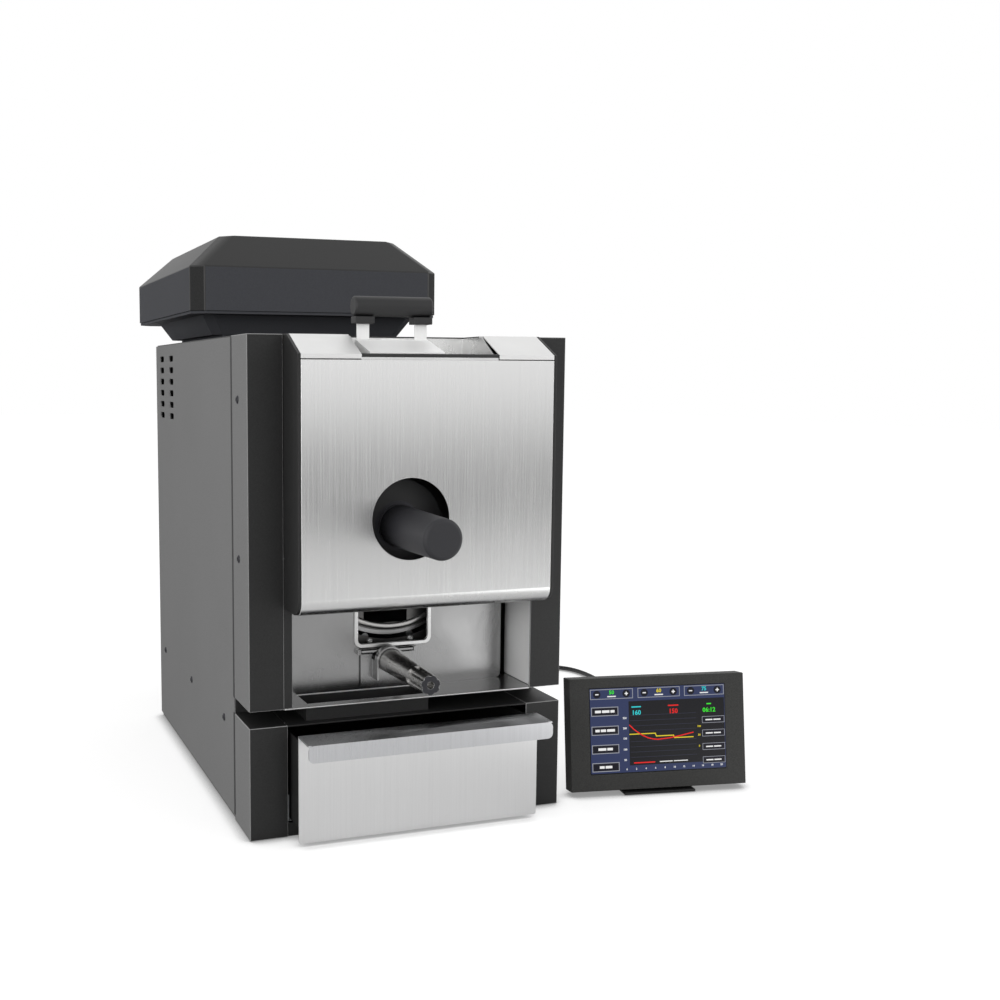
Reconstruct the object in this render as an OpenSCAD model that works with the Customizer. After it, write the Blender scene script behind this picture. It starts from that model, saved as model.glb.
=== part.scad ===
// Home coffee bean roaster with a hinged chaff hood, a front drawer and a detached touch display.
// Millimetres, +Z up, the front faces -Y, origin on the floor under the middle of the case.
// The y of every block and rod is measured back from the front face of the case.

/* [Case] */
// Width over the side panels
case_w = 248; // [236:1:300]
// Depth from the front face to the rear panel
case_d = 355; // [340:1:430]
// Height of the case, floor to top plate
case_h = 363; // [350:1:440]
// Thickness of the folded steel sheet
sheet = 1.2; // [0.8:0.1:1.5]
// Top of the lower housing, which holds the drawer
lower_h = 83; // [78:1:110]
// Height of the open slot between the two housings
slot_h = 12; // [8:1:16]
// Depth of the four column covers on the front corners
column_d = 46; // [44:1:60]

/* [Front panel] */
// Width of the stainless front panel
panel_w = 191; // [184:1:191]
// How far the panel stands in front of the case
panel_out = 35.7; // [34:0.1:44]
// Height of the panel's rolled lower edge above the floor
panel_z = 168; // [160:1:175]
// Outer radius of the rolled lower edge
roll_r = 12; // [8:0.5:14]
// Radius of the sampler port in the panel
port_r = 29; // [24:0.5:32]
// Width of the hopper mouth
mouth_w = 104; // [96:1:112]

/* [Drum] */
// Outer radius of the roasting drum
drum_r = 73; // [68:0.5:74]
// Length of the roasting drum
drum_len = 183; // [150:1:190]
// Height of the drum axis above the floor
drum_z = 206; // [204:0.5:210]
// Radius of the pulley on the drum shaft
drum_pulley_r = 35; // [28:0.5:40]
// Radius of the pulley on the drive motor
motor_pulley_r = 12; // [10:0.5:14]

/* [Sampler] */
// Radius of the sampler spoon
spoon_r = 14.95; // [12:0.05:15]
// Length of the sampler grip
grip_len = 80; // [60:1:100]

/* [Hood] */
// Width of the hood cover
hood_w = 230.7; // [222:0.1:240]
// Depth of the hood cover
hood_d = 290.3; // [280:0.1:310]
// Height of the cover's straight band
band_h = 38.3; // [25:0.1:50]
// Height of the cover's sloped crown
crown_h = 29.1; // [20:0.1:40]

/* [Drawer] */
// Width of the drawer front
drawer_w = 187.8; // [180:0.1:188]
// Length of the drawer tray behind its front
drawer_len = 220; // [150:1:240]
// Depth of the pull lip in front of the drawer front
lip_out = 24.7; // [18:0.1:30]

/* [Display] */
// Width of the display housing
display_w = 148.6; // [130:0.1:170]
// Height of the display housing
display_h = 90; // [80:0.5:110]
// Thickness of the display housing
display_t = 14; // [10:0.5:18]
// Backward lean of the display in degrees
display_lean = 7.3; // [4:0.1:12]

/* [Hidden] */
$fn = 64;
gap = 0.2; // assembly clearance between fixed sheet parts
run = 0.05; // radial clearance of a running fit
eps = 1; // overshoot of a cut

half_w = case_w / 2;
inner_x = half_w - sheet;
front_y = -case_d / 2;
upper_z = lower_h + slot_h;
panel_x = panel_w / 2;
cheek_t = 2;
cheek_x = panel_x + gap;
column_x = cheek_x + cheek_t + 0.3;
low_column_x = panel_x;

// vents near the rear top corner of each side
vent_pitch_z = 10.4;
vent_y = [case_d - 75, case_d - 30];
vent_top = case_h - 13.5;
vent_len = 20;
vent_r = 2.7;

// base
pan_h = 10;
pan_floor = 6;
pan_x = inner_x - gap;
flange_w = 12;
foot_r = 12;

// alcove under the front panel
alcove_x = column_x + 3.5;
alcove_y = 36;
alcove_floor_z = upper_z + 0.5;
alcove_top = panel_z + 37;
back_x = alcove_x - 11;
window_x = [-32.7, 30.3];
window_z = [upper_z + 32.5, upper_z + 86];
window_rim = 3;
drop_x = [-78, 16];
drop_y = [9, 35.4];

// hopper
hopper_x = mouth_w / 2 - gap;
hopper_back = 28;
hopper_floor = case_h - 28;
shoulder_y = 7.4;
shoulder_z = case_h - 14.3;
hem_z = case_h - 17.4;
panel_top = case_h - 18;
hopper_front = sheet - panel_out + 0.3;
lip_z = case_h - 16;
chute_x = [-18, 9];
chute_y = [7.7 - panel_out, -3];
gate_x = -16.6;
gate_w = 56;
arm_w = 9.3;
gate_grip_r = 7.2;
gate_grip_z = case_h + 20.2;
bracket_z = [case_h + 7.8, case_h + 13];
gate_top = case_h - 3;
gate_cap = [4.2 - panel_out, case_h - 12.6];

// drum and drive
drum_x = 3;
drum_wall = 1.5;
drum_y = 53;
head_y = [50, 52];
head_r = drum_r - 3.5;
slot_r = drum_r + 3;
chute_z = [drum_z + 43, drum_z + 64];
head_top = case_h - 63;
bulkhead_y = drum_y + drum_len + 6;
shaft_r = 6;
pulley_y = bulkhead_y + 14;
pulley_t = 10;
belt_t = 2;
motor_at = [92, lower_h + 37];
motor_r = 24;
motor_shaft_r = 4;
jacket_r = drum_r + 9;
heater_r = 3;

// sampler
sampler_x = -15;
sampler_z = 226.5;
port_z = 234;
sleeve_r = spoon_r + 3.05;
collar_r = sleeve_r + 1.6;
flange_r = port_r + 5;
spoon_y = [-14, 130];

// discharge
door_x = [-28, 14];
door_z = [upper_z + 3, upper_z + 30];
door_pin_y = 33.3;
door_pin_r = 1;
lever_x = -7;
lever_z = door_z[1] - 6.5;
lever_y = -54;

// exhaust
duct_x = [drum_x - 30, drum_x + 30];
fan_x = 102;
fan_y = [case_d, case_d + 100];
fan_z = [case_h - 168, case_h - gap];
duct_y = [drum_y + 129, drum_y + 175];
outlet_y = [case_d - 93, case_d - 53];
duct_low = drum_z + 78;
duct_roof = case_h - 14;
duct_floor = duct_roof - 30;
fan_port = [case_d + 40, case_d + 85];
spigot_r = 37.5;
spigot_len = 32;
spigot_wall = 2;
spigot_z = case_h - 73;
wheel_r = 46;
wheel_y = [case_d + 60, case_d + 88];

// mains inlet and switch on the rear panel
inlet_x = [-92, -30];
inlet_z = [36, 66];
rocker_x = [-86, -68];

// hood
hood_y = [case_d - 131.5, case_d - 131.5 + hood_d];
hood_z = case_h + 27.6;
hood_t = 1.6;
hood_chamfer = 11;
crown_in = [32.4, 25.4];
bin_z = case_h + 8;
bin_x = 89;
bin_y = [case_d - 97.7, case_d + 108.4];
skirt_y = [case_d - 95.5, case_d + 95];
bin_flare = 11;
ledge_z = case_h + 25;
hinge_y = hood_y[1] + 4.2;
hinge_z = hood_z + 2.6;
hinge_r = 3.5;
hinge_pin_r = 1.6;

// drawer
drawer_y = -21.9;
drawer_z = [2.5, lower_h - 2];
lip_h = 12.4;
tray_x = drawer_w / 2 - 1.4;
tray_z = [11.5, lower_h - 7];

// display: its lower left front corner and its turn about Z
display_at = [140.9, -170.6, 4];
display_turn = -9.7;
screen_in = [16.5, 13, 8];
screen_deep = 1.2;
stand_w = 60;
plug_at = [119, 20];

// cable from the rear panel to the back of the display, lying on the floor
cable_r = 2.3;
gland_r = 8;
gland_at = [95, 40];
cable_route = [
  [95, 203.5, 40], [95, 214, 39.6], [95.5, 224, 37], [98, 235, 31.5], [102.5, 246, 22],
  [109.5, 255.5, 12], [119, 262.5, 5.2], [131, 266.5, 2.8], [147, 268, 2.4], [167, 268, 2.4],
  [190, 266, 2.4], [214, 262.5, 2.4], [238, 258, 2.4], [262, 252, 2.4], [285, 244.5, 2.4],
  [306, 235.5, 2.4], [324, 225.5, 2.4], [339, 214.5, 2.4], [348.5, 201, 2.4], [352.5, 184, 2.4],
  [353, 166, 2.4], [351.5, 145, 2.4], [348, 122, 2.4], [342.5, 98, 2.4], [335.5, 73, 2.4],
  [327, 47, 2.4], [317.5, 20, 2.4], [307.5, -7, 2.4], [298, -33, 2.4], [289, -59, 2.7],
  [281.5, -83, 4.2], [275.5, -105, 8], [271, -123, 13], [267.7, -138, 17.1], [264.6, -153, 19.3]
];

// ---- shapes used by many parts ----

// box between two corners, each range given as [low, high]
module block(x, y, z)
  translate([x[0], front_y + y[0], z[0]]) cube([x[1] - x[0], y[1] - y[0], z[1] - z[0]]);

// a piece and its mirror image on the other side of the case
module both_sides() {
  children();
  mirror([1, 0, 0]) children();
}

// cylinder along Y
module rod_y(x, z, y, r)
  translate([x, front_y + y[0], z]) rotate([-90, 0, 0]) cylinder(h = y[1] - y[0], r = r);

// cylinder along X
module rod_x(y, z, x, r)
  translate([x[0], front_y + y, z]) rotate([0, 90, 0]) cylinder(h = x[1] - x[0], r = r);

// ring along Y
module tube_y(x, z, y, r_out, r_in)
  difference() {
    rod_y(x, z, y, r_out);
    rod_y(x, z, [y[0] - eps, y[1] + eps], r_in);
  }

// prism along X whose outline is a list of [y, z]
module prism_x(x, outline)
  translate([x[0], front_y, 0]) rotate([90, 0, 90]) linear_extrude(x[1] - x[0]) polygon(outline);

// plate facing -Y whose outline is drawn in x and z
module plate_y(y)
  translate([0, front_y + y[1], 0]) rotate([90, 0, 0]) linear_extrude(y[1] - y[0]) children();

// rectangle with round corners, between x and z limits
module round_rect(x, z, r)
  union() {
    translate([x[0] + r, z[0]]) square([x[1] - x[0] - 2 * r, z[1] - z[0]]);
    translate([x[0], z[0] + r]) square([x[1] - x[0], z[1] - z[0] - 2 * r]);
    for (cx = [x[0] + r, x[1] - r], cz = [z[0] + r, z[1] - r])
      translate([cx, cz]) circle(r);
  }

// ---- base and case ----

// folded tray that stands on its inward flange
module base_pan() color("dimgray")
  difference() {
    block([-pan_x, pan_x], [sheet + gap, case_d - sheet - gap], [0, pan_h]);
    block([-pan_x + sheet, pan_x - sheet], [2 * sheet + gap, case_d - 2 * sheet - gap],
          [pan_floor + sheet, pan_h + eps]);
    block([-pan_x + sheet, pan_x - sheet], [2 * sheet + gap, case_d - 2 * sheet - gap],
          [sheet, pan_floor]);
    block([-pan_x + flange_w, pan_x - flange_w], [flange_w, case_d - flange_w], [-eps, pan_floor]);
  }

module rubber_feet() color("black")
  for (x = [-1, 1] * (half_w - 36), y = [40, case_d - 40])
    translate([x, front_y + y, 0]) cylinder(h = pan_floor, r = foot_r);

// round-ended louvre slots cut through a side panel near its rear top corner
module vent_cuts()
  for (y = vent_y, row = [0:5]) {
    z = vent_top - row * vent_pitch_z;
    x = [inner_x - eps, half_w + eps];
    block(x, [y - vent_len / 2 + vent_r, y + vent_len / 2 - vent_r], [z - vent_r, z + vent_r]);
    for (end = [-1, 1]) rod_x(y + end * (vent_len / 2 - vent_r), z, x, vent_r);
  }

module side_panel() color("gray")
  difference() {
    block([inner_x, half_w], [column_d + 0.3, case_d], [3, case_h - 1]);
    vent_cuts();
  }

module left_side_panel() mirror([1, 0, 0]) side_panel();
module right_side_panel() side_panel();

module top_plate() color("dimgray")
  difference() {
    union() {
      block([-pan_x, pan_x], [column_d + gap, case_d], [case_h - sheet, case_h]);
      block([-column_x + gap, column_x - gap], [gap, column_d + 2 * gap], [case_h - sheet, case_h]);
    }
    block([-hopper_x - gap, hopper_x + gap], [-eps, hopper_back + gap], [case_h - 5, case_h + eps]);
    block([duct_x[0] - gap, duct_x[1] + gap], grow(outlet_y, gap), [case_h - 5, case_h + eps]);
  }

module rear_panel() color("gray")
  difference() {
    block([-pan_x, pan_x], [case_d - sheet, case_d], [pan_h + gap, case_h - sheet - gap]);
    block([inlet_x[0] + 3, inlet_x[1] - 3], [case_d - 5, case_d + eps], [inlet_z[0] + 3, inlet_z[1] - 3]);
    rod_y(gland_at[0], gland_at[1], [case_d - 5, case_d + eps], gland_r - 2);
  }

// folded cover of a front corner column: front face, outer side, top and bottom
module column_cover(x, z) color("darkslategray")
  difference() {
    block([x, half_w], [0, column_d], z);
    block([x - eps, inner_x], [sheet, column_d + eps], [z[0] + sheet, z[1] - sheet]);
  }

module upper_column()
  difference() {
    column_cover(column_x, [upper_z, case_h]);
    // room for the alcove wall and floor behind the front face
    block([column_x - eps, alcove_x + 0.3], [sheet, column_d + eps], [upper_z - eps, alcove_top]);
  }

module upper_left_column() mirror([1, 0, 0]) upper_column();
module upper_right_column() upper_column();

// the lower pair stands over the feet, so it has no bottom
module lower_columns()
  both_sides()
    difference() {
      column_cover(low_column_x, [0, lower_h]);
      block([low_column_x - eps, inner_x], [sheet, column_d + eps], [-eps, sheet + eps]);
    }

// deck between the housings, with the upstand behind the slot and the chute into the drawer
module base_deck() color("black")
  difference() {
    union() {
      block([-low_column_x + gap, low_column_x - gap], [gap, column_d + 2 * gap], [lower_h - sheet, lower_h]);
      block([-pan_x, pan_x], [column_d + gap, case_d - sheet - gap], [lower_h - sheet, lower_h]);
      block([-pan_x, pan_x], [column_d + gap, column_d + gap + sheet], [lower_h, upper_z]);
      block([drop_x[0] - sheet, drop_x[1] + sheet], [drop_y[0] - sheet, drop_y[1] + sheet],
            [lower_h, alcove_floor_z - sheet]);
    }
    block(drop_x, drop_y, [lower_h - 5, upper_z + eps]);
  }

// ---- front panel and its sides ----

// quarter of a rolled sheet edge along X, whose centre is at (y, z)
module quarter_roll(x, y, z, r)
  intersection() {
    difference() {
      rod_x(y, z, x, r);
      rod_x(y, z, [x[0] - eps, x[1] + eps], r - sheet);
    }
    block(x, [y - r - eps, y], [z - r - eps, z]);
  }

module front_panel() color("silver")
  difference() {
    union() {
      block([-panel_x, panel_x], [-panel_out, sheet - panel_out], [panel_z + roll_r, panel_top]);
      quarter_roll([-panel_x, panel_x], roll_r - panel_out, panel_z + roll_r, roll_r);
      block([-panel_x, panel_x], [roll_r - panel_out, -12], [panel_z, panel_z + sheet]);
      both_sides()
        block([mouth_w / 2, panel_x], [-panel_out, 6 - panel_out], [panel_top - sheet, panel_top]);
    }
    rod_y(sampler_x, port_z, [-panel_out - eps, 5 - panel_out], port_r);
  }

// side outline of the box that stands in front of the case, as [y, z]
cheek_outline = concat(
  [[0, case_h], [0, panel_z + 0.5]],
  [for (a = [270:-9:180]) [roll_r - panel_out + roll_r * cos(a), panel_z + 0.5 + roll_r + roll_r * sin(a)]],
  [[-panel_out, shoulder_z], [-shoulder_y, case_h]]
);

module front_cheeks() color("black")
  both_sides() {
    prism_x([cheek_x, cheek_x + cheek_t], cheek_outline);
    block([cheek_x, cheek_x + cheek_t], [0, 1.4 + sheet], [alcove_top + 1, case_h - 8]);
    block([cheek_x, cheek_x + 13], [sheet + gap, 2 * sheet + gap], [alcove_top + 1, case_h - 8]);
  }

module shoulder_plates() color("gainsboro")
  both_sides()
    prism_x([mouth_w / 2, panel_x], [
      [0, case_h], [-shoulder_y, case_h], [-panel_out, shoulder_z], [-panel_out, hem_z],
      [sheet - panel_out, hem_z], [sheet - panel_out, shoulder_z - 0.6], [-shoulder_y + 0.3, case_h - sheet],
      [0, case_h - sheet]
    ]);

// ---- hopper and its gate ----

module hopper() color("silver") {
  difference() {
    union() {
      prism_x([-hopper_x, hopper_x], [
        [hopper_front, hopper_floor], [hopper_back, hopper_floor], [hopper_back, case_h - 1],
        [-shoulder_y, case_h - 1], [hopper_front + 3, lip_z], [hopper_front, lip_z]
      ]);
      prism_x([chute_x[0] - sheet, chute_x[1] + sheet], [
        [chute_y[0] - 2, hopper_floor + sheet], [chute_y[0] - 2, hopper_floor - 2],
        [head_y[0] - gap, chute_z[0] - 2], [head_y[0] - gap, chute_z[1] + 2],
        [chute_y[1] + 2, hopper_floor], [chute_y[1] + 2, hopper_floor + sheet]
      ]);
    }
    prism_x([-hopper_x + sheet, hopper_x - sheet], [
      [hopper_front + sheet, hopper_floor + sheet], [hopper_back - sheet, hopper_floor + sheet],
      [hopper_back - sheet, case_h + eps], [hopper_front + sheet, case_h + eps]
    ]);
    prism_x(chute_x, [
      [chute_y[0], hopper_floor + 2 * sheet], [chute_y[0], hopper_floor - 2], [head_y[0] + eps, chute_z[0]],
      [head_y[0] + eps, chute_z[1]], [chute_y[1], hopper_floor], [chute_y[1], hopper_floor + 2 * sheet]
    ]);
  }
  // guides beside and behind the two edges of the gate
  for (side = [-1, 1]) {
    edge = gate_x + side * gate_w / 2;
    outer = edge + side * 2.4;
    z = [hopper_floor + sheet, hopper_floor + 14];
    block([min(edge + side * 0.3, outer), max(edge + side * 0.3, outer)], [-2.6, 2.6], z);
    block([min(edge - side * 2.4, outer), max(edge - side * 2.4, outer)], [0.9, 2.6], z);
  }
}

// rounded strip that covers the hopper's front edge
module hopper_lip() color("black")
  difference() {
    rod_x(hopper_front + 0.6, lip_z + 0.6, [-hopper_x, hopper_x], 1.7);
    block([-half_w, half_w], [-panel_out - 5, hopper_front + 5], [lip_z - 5, lip_z]);
  }

// cap over the chute: blade behind, sloped cover, two sides, and the arms of the handle
module gate_plate() color("white") {
  x = [gate_x - gate_w / 2, gate_x + gate_w / 2];
  blade = [-0.6, 0.6];
  low_z = hopper_floor + sheet + 0.4;
  block(x, blade, [low_z, gate_top - 1]);
  prism_x(x, [[0, gate_top], gate_cap, gate_cap - [0, sheet], [0, gate_top - sheet]]);
  for (edge = [x[0], x[1] - sheet])
    prism_x([edge, edge + sheet],
            [[0, gate_top - 0.5], gate_cap - [0, 0.4], [gate_cap[0], low_z], [0, low_z]]);
  for (side = [-1, 1]) {
    arm = gate_x + side * (gate_w / 2 - 1.2 - arm_w / 2);
    block([arm - arm_w / 2, arm + arm_w / 2], blade, [gate_top - 2, bracket_z[0]]);
  }
  // the upper edge between the arms is a shallow arc
  intersection() {
    rod_y(gate_x, gate_top + 0.7 - 90, blade, 90);
    block([gate_x - 18, gate_x + 18], blade, [gate_top - 2, gate_top + 1]);
  }
}

module gate_brackets() color("dimgray")
  for (side = [-1, 1]) {
    x = gate_x + side * (gate_w / 2 - 5.8);
    block([x - 7.3, x + 7.3], [-5, 5], bracket_z);
  }

module gate_grip() color("black")
  difference() {
    rod_x(0, gate_grip_z, [gate_x - 29.6, gate_x + 29.6], gate_grip_r);
    block([-half_w, half_w], [-20, 20], [bracket_z[1] - 5, bracket_z[1]]);
  }

// ---- alcove and discharge ----

module alcove_back() color("silver") {
  plate_y([alcove_y, alcove_y + sheet])
    difference() {
      round_rect([-back_x, back_x], [alcove_floor_z, alcove_top], 4);
      round_rect([window_x[0] + window_rim, window_x[1] - window_rim],
                 [window_z[0] + window_rim, window_z[1] - window_rim], 3.5);
      translate([door_x[0] + 4, door_z[0] + 1.5]) square([door_x[1] - door_x[0] - 8, 21]);
    }
  // pin of the discharge door in its two lugs
  rod_x(door_pin_y, door_z[1], [door_x[0] - 3, door_x[1] + 3], door_pin_r);
  for (x = [door_x[0] - 3, door_x[1] + 0.6])
    block([x, x + 2.4], [door_pin_y - 2, alcove_y], [door_z[1] - 1.8, door_z[1] + 1.8]);
}

module window_rim() color("white")
  plate_y([alcove_y - 1.5, alcove_y])
    difference() {
      round_rect(window_x, window_z, 6);
      round_rect([window_x[0] + window_rim, window_x[1] - window_rim],
                 [window_z[0] + window_rim, window_z[1] - window_rim], 3.5);
    }

module alcove_floor() color("silver")
  difference() {
    union() {
      block([-column_x + gap, column_x - gap], [-0.4, sheet + gap], [alcove_floor_z - sheet, alcove_floor_z]);
      block([-alcove_x, alcove_x], [sheet + gap, column_d - gap], [alcove_floor_z - sheet, alcove_floor_z]);
    }
    block(drop_x, drop_y, [alcove_floor_z - 5, alcove_floor_z + eps]);
  }

module alcove_walls() color("silver")
  both_sides()
    block([alcove_x - sheet, alcove_x], [sheet, column_d + 3], [alcove_floor_z, alcove_top]);

saddle_y = [24, 30];
saddle_r = 9.5;

module discharge_door() color("silver") {
  door_t = 1.6;
  face_y = door_pin_y + 0.3;
  difference() {
    union() {
      block(door_x, [face_y, face_y + door_t], door_z);
      rod_x(door_pin_y, door_z[1], [door_x[0], lever_x - 8], 2);
      rod_x(door_pin_y, door_z[1], [lever_x + 8, door_x[1]], 2);
    }
    rod_x(door_pin_y, door_z[1], [door_x[0] - eps, door_x[1] + eps], door_pin_r + run);
    // the middle of the upper edge stays clear of the pin
    block([lever_x - 8, lever_x + 8], [door_pin_y - 2, door_pin_y + 3], [door_z[1] - 1.2, door_z[1] + 3]);
  }
  // saddle strap over the root of the lever
  intersection() {
    tube_y(lever_x, lever_z, saddle_y, saddle_r + 1.7, saddle_r);
    block([lever_x - 20, lever_x + 20], saddle_y, [lever_z, lever_z + 20]);
  }
  for (side = [-1, 1])
    block([lever_x + side * (saddle_r + 0.85) - 0.85, lever_x + side * (saddle_r + 0.85) + 0.85],
          [saddle_y[0], face_y], [door_z[0] + 6, lever_z]);
}

module discharge_lever() color("silver") {
  root_y = door_pin_y + 0.3;
  tip_r = 7.25;
  difference() {
    union() {
      rod_y(lever_x, lever_z, [30, root_y], door_z[1] - lever_z - door_pin_r - 0.1);
      translate([lever_x, front_y + lever_y, lever_z]) rotate([-90, 0, 0])
        cylinder(h = 30 - lever_y, r1 = tip_r, r2 = 9.3);
    }
    // flutes around the tip, and the hole in its end
    for (i = [0:6])
      rod_y(lever_x + (tip_r + 1.3) * sin(i * 360 / 7), lever_z + (tip_r + 1.3) * cos(i * 360 / 7),
            [lever_y - eps, lever_y + 26], 2.1);
    rod_y(lever_x, lever_z, [lever_y - eps, lever_y + 12], 2.7);
  }
}

// ---- sampler ----

module sampler_collar() color("black") {
  tube_y(sampler_x, sampler_z, [-11, -8.5], flange_r, sleeve_r + run);
  tube_y(sampler_x, sampler_z, [-8.5, head_y[0]], collar_r, sleeve_r + run);
}

module sampler_sleeve() color("darkgray")
  tube_y(sampler_x, sampler_z, [-11, head_y[1]], sleeve_r, spoon_r + run);

// round bar whose inner end is cut to a scoop
module sampler_spoon() color("silver")
  difference() {
    rod_y(sampler_x, sampler_z, spoon_y, spoon_r);
    tube_cut = [spoon_y[1] - 64, spoon_y[1] - 4];
    rod_y(sampler_x, sampler_z, tube_cut, spoon_r - 1.5);
    block([sampler_x - 20, sampler_x + 20], tube_cut, [sampler_z, sampler_z + 20]);
  }

module sampler_grip() color("black") {
  end_r = 3;
  grip_r = [spoon_r - 0.75, spoon_r + 0.45];
  tip_y = spoon_y[0] - grip_len;
  translate([sampler_x, front_y + tip_y, sampler_z]) rotate([-90, 0, 0])
    rotate_extrude()
      union() {
        polygon([[0, 0], [grip_r[0] - end_r, 0], [grip_r[0], end_r], [grip_r[1], grip_len], [0, grip_len]]);
        translate([grip_r[0] - end_r, end_r]) intersection() {
          circle(end_r);
          translate([0, -end_r]) square([end_r, end_r]);
        }
      }
}

// ---- drum and drive ----

probe_at = [drum_x + 27, drum_z - 34];

// front plate of the chamber: a ring slot for the drum's rim around the fixed head
module drum_head() color("dimgray")
  difference() {
    block([-88, 88], head_y, [lower_h, head_top]);
    difference() {
      tube_y(drum_x, drum_z, [head_y[0] - eps, head_y[1] + eps], slot_r, head_r);
      block([drum_x - 14, drum_x + 14], [head_y[0] - eps, head_y[1] + eps], [drum_z, drum_z + 100]);
    }
    rod_y(sampler_x, sampler_z, [head_y[0] - eps, head_y[1] + eps], sleeve_r + run);
    block(chute_x, [head_y[0] - eps, head_y[1] + eps], chute_z);
    block([-20, 16], [head_y[0] - eps, head_y[1] + eps], [drum_z - 63, drum_z - 46]);
    rod_y(probe_at[0], probe_at[1], [head_y[0] - eps, head_y[1] + eps], 2.1);
  }

module drum_bulkhead() color("dimgray")
  difference() {
    block([-pan_x + 3, pan_x - 3], [bulkhead_y, bulkhead_y + 2], [lower_h, case_h - 47]);
    rod_y(drum_x, drum_z, [bulkhead_y - eps, bulkhead_y + 3], shaft_r + 2);
    rod_y(motor_at[0], motor_at[1], [bulkhead_y - eps, bulkhead_y + 3], motor_shaft_r + 2);
  }

module drum() color("silver") {
  y = [drum_y, drum_y + drum_len];
  tube_y(drum_x, drum_z, y, drum_r, drum_r - drum_wall);
  tube_y(drum_x, drum_z, [y[0], y[0] + 4], drum_r, drum_r - 3);
  rod_y(drum_x, drum_z, [y[1] - 2, y[1]], drum_r - 0.5);
  // mixing vanes
  for (a = [30:120:270])
    translate([drum_x, front_y, drum_z]) rotate([0, a, 0])
      translate([-1, y[0] + 4, drum_r - 16]) cube([2, drum_len - 7, 15.2]);
}

module drum_shaft() color("silver") {
  rear = drum_y + drum_len;
  rod_y(drum_x, drum_z, [rear, rear + 3], 18);
  rod_y(drum_x, drum_z, [rear + 3, pulley_y + pulley_t + 4], shaft_r);
}

module drum_bearing() color("darkgray")
  tube_y(drum_x, drum_z, [bulkhead_y + 2, bulkhead_y + 11], 15, shaft_r + run);

// grooved pulley with two rims
module pulley(at, r, bore)
  difference() {
    union() {
      rod_y(at[0], at[1], [pulley_y, pulley_y + pulley_t], r);
      rod_y(at[0], at[1], [pulley_y, pulley_y + 1.2], r + 3);
      rod_y(at[0], at[1], [pulley_y + pulley_t - 1.2, pulley_y + pulley_t], r + 3);
    }
    if (bore > 0) rod_y(at[0], at[1], [pulley_y - eps, pulley_y + pulley_t + eps], bore);
  }

module drum_pulley() color("silver") pulley([drum_x, drum_z], drum_pulley_r, shaft_r);

module motor_pulley() color("silver") {
  pulley(motor_at, motor_pulley_r, 0);
  rod_y(motor_at[0], motor_at[1], [bulkhead_y - 30, pulley_y], motor_shaft_r);
}

module belt_outline(out)
  hull() {
    translate([drum_x, drum_z]) circle(drum_pulley_r + out, $fn = 96);
    translate(motor_at) circle(motor_pulley_r + out, $fn = 48);
  }

module drive_belt() color("black")
  plate_y([pulley_y + 1.7, pulley_y + pulley_t - 1.7])
    difference() {
      belt_outline(0.2 + belt_t);
      belt_outline(0.2);
    }

module drive_motor() color("dimgray")
  difference() {
    union() {
      rod_y(motor_at[0], motor_at[1], [bulkhead_y - 62, bulkhead_y - 6], motor_r);
      rod_y(motor_at[0], motor_at[1], [bulkhead_y - 6, bulkhead_y], 16);
    }
    rod_y(motor_at[0], motor_at[1], [bulkhead_y - 30 - gap, bulkhead_y + eps], motor_shaft_r + run);
  }

module heater_rods() color("gray")
  for (a = [-122, -104, -76, -58])
    rod_y(drum_x + (jacket_r - 4.5) * cos(a), drum_z + (jacket_r - 4.5) * sin(a),
          [drum_y + 6, bulkhead_y], heater_r);

module heat_jacket() color("silver")
  difference() {
    tube_y(drum_x, drum_z, [head_y[1], bulkhead_y], jacket_r + sheet, jacket_r);
    block([duct_x[0] - gap, duct_x[1] + gap], grow(duct_y, gap), [drum_z, drum_z + 100]);
  }

module bean_probe() color("silver") {
  rod_y(probe_at[0], probe_at[1], [head_y[0] - 6, head_y[0]], 5);
  rod_y(probe_at[0], probe_at[1], [head_y[0], 110], 2);
}

module control_board() color("darkgreen") {
  x = -inner_x + 8;
  block([x, x + 1.6], [90, 230], [120, 260]);
  for (y = [96, 224], z = [126, 254]) rod_x(y, z, [-inner_x, x], 3);
  for (y = [110, 150, 190]) block([x + 1.6, x + 16], [y, y + 24], [140, 172]);
  block([x + 1.6, x + 22], [112, 200], [190, 226]);
}

// ---- exhaust ----

// outline of the duct's run, shrunk by its wall, with both ends lengthened
function duct_outline(t, ends) = [
  [duct_y[0] + t, duct_low - ends], [duct_y[1] - t, duct_low - ends], [duct_y[1] - t, duct_floor + t],
  [outlet_y[1] - t, duct_floor + t], [outlet_y[1] - t, bin_z + ends], [outlet_y[0] + t, bin_z + ends],
  [outlet_y[0] + t, duct_roof - t], [duct_y[0] + t, duct_roof - t]
];

module exhaust_duct() color("silver")
  difference() {
    prism_x(duct_x, duct_outline(0, 0));
    prism_x([duct_x[0] + sheet, duct_x[1] - sheet], duct_outline(sheet, eps));
  }

module fan_housing() color("gray")
  difference() {
    block([-fan_x, fan_x], fan_y, fan_z);
    block([-fan_x + sheet, fan_x - sheet], [fan_y[0] - eps, fan_y[1] - sheet],
          [fan_z[0] + sheet, fan_z[1] - sheet]);
    rod_y(0, spigot_z, [fan_y[1] - 5, fan_y[1] + eps], spigot_r - 0.8);
    block([-40, 40], fan_port, [fan_z[1] - 5, fan_z[1] + eps]);
  }

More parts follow.
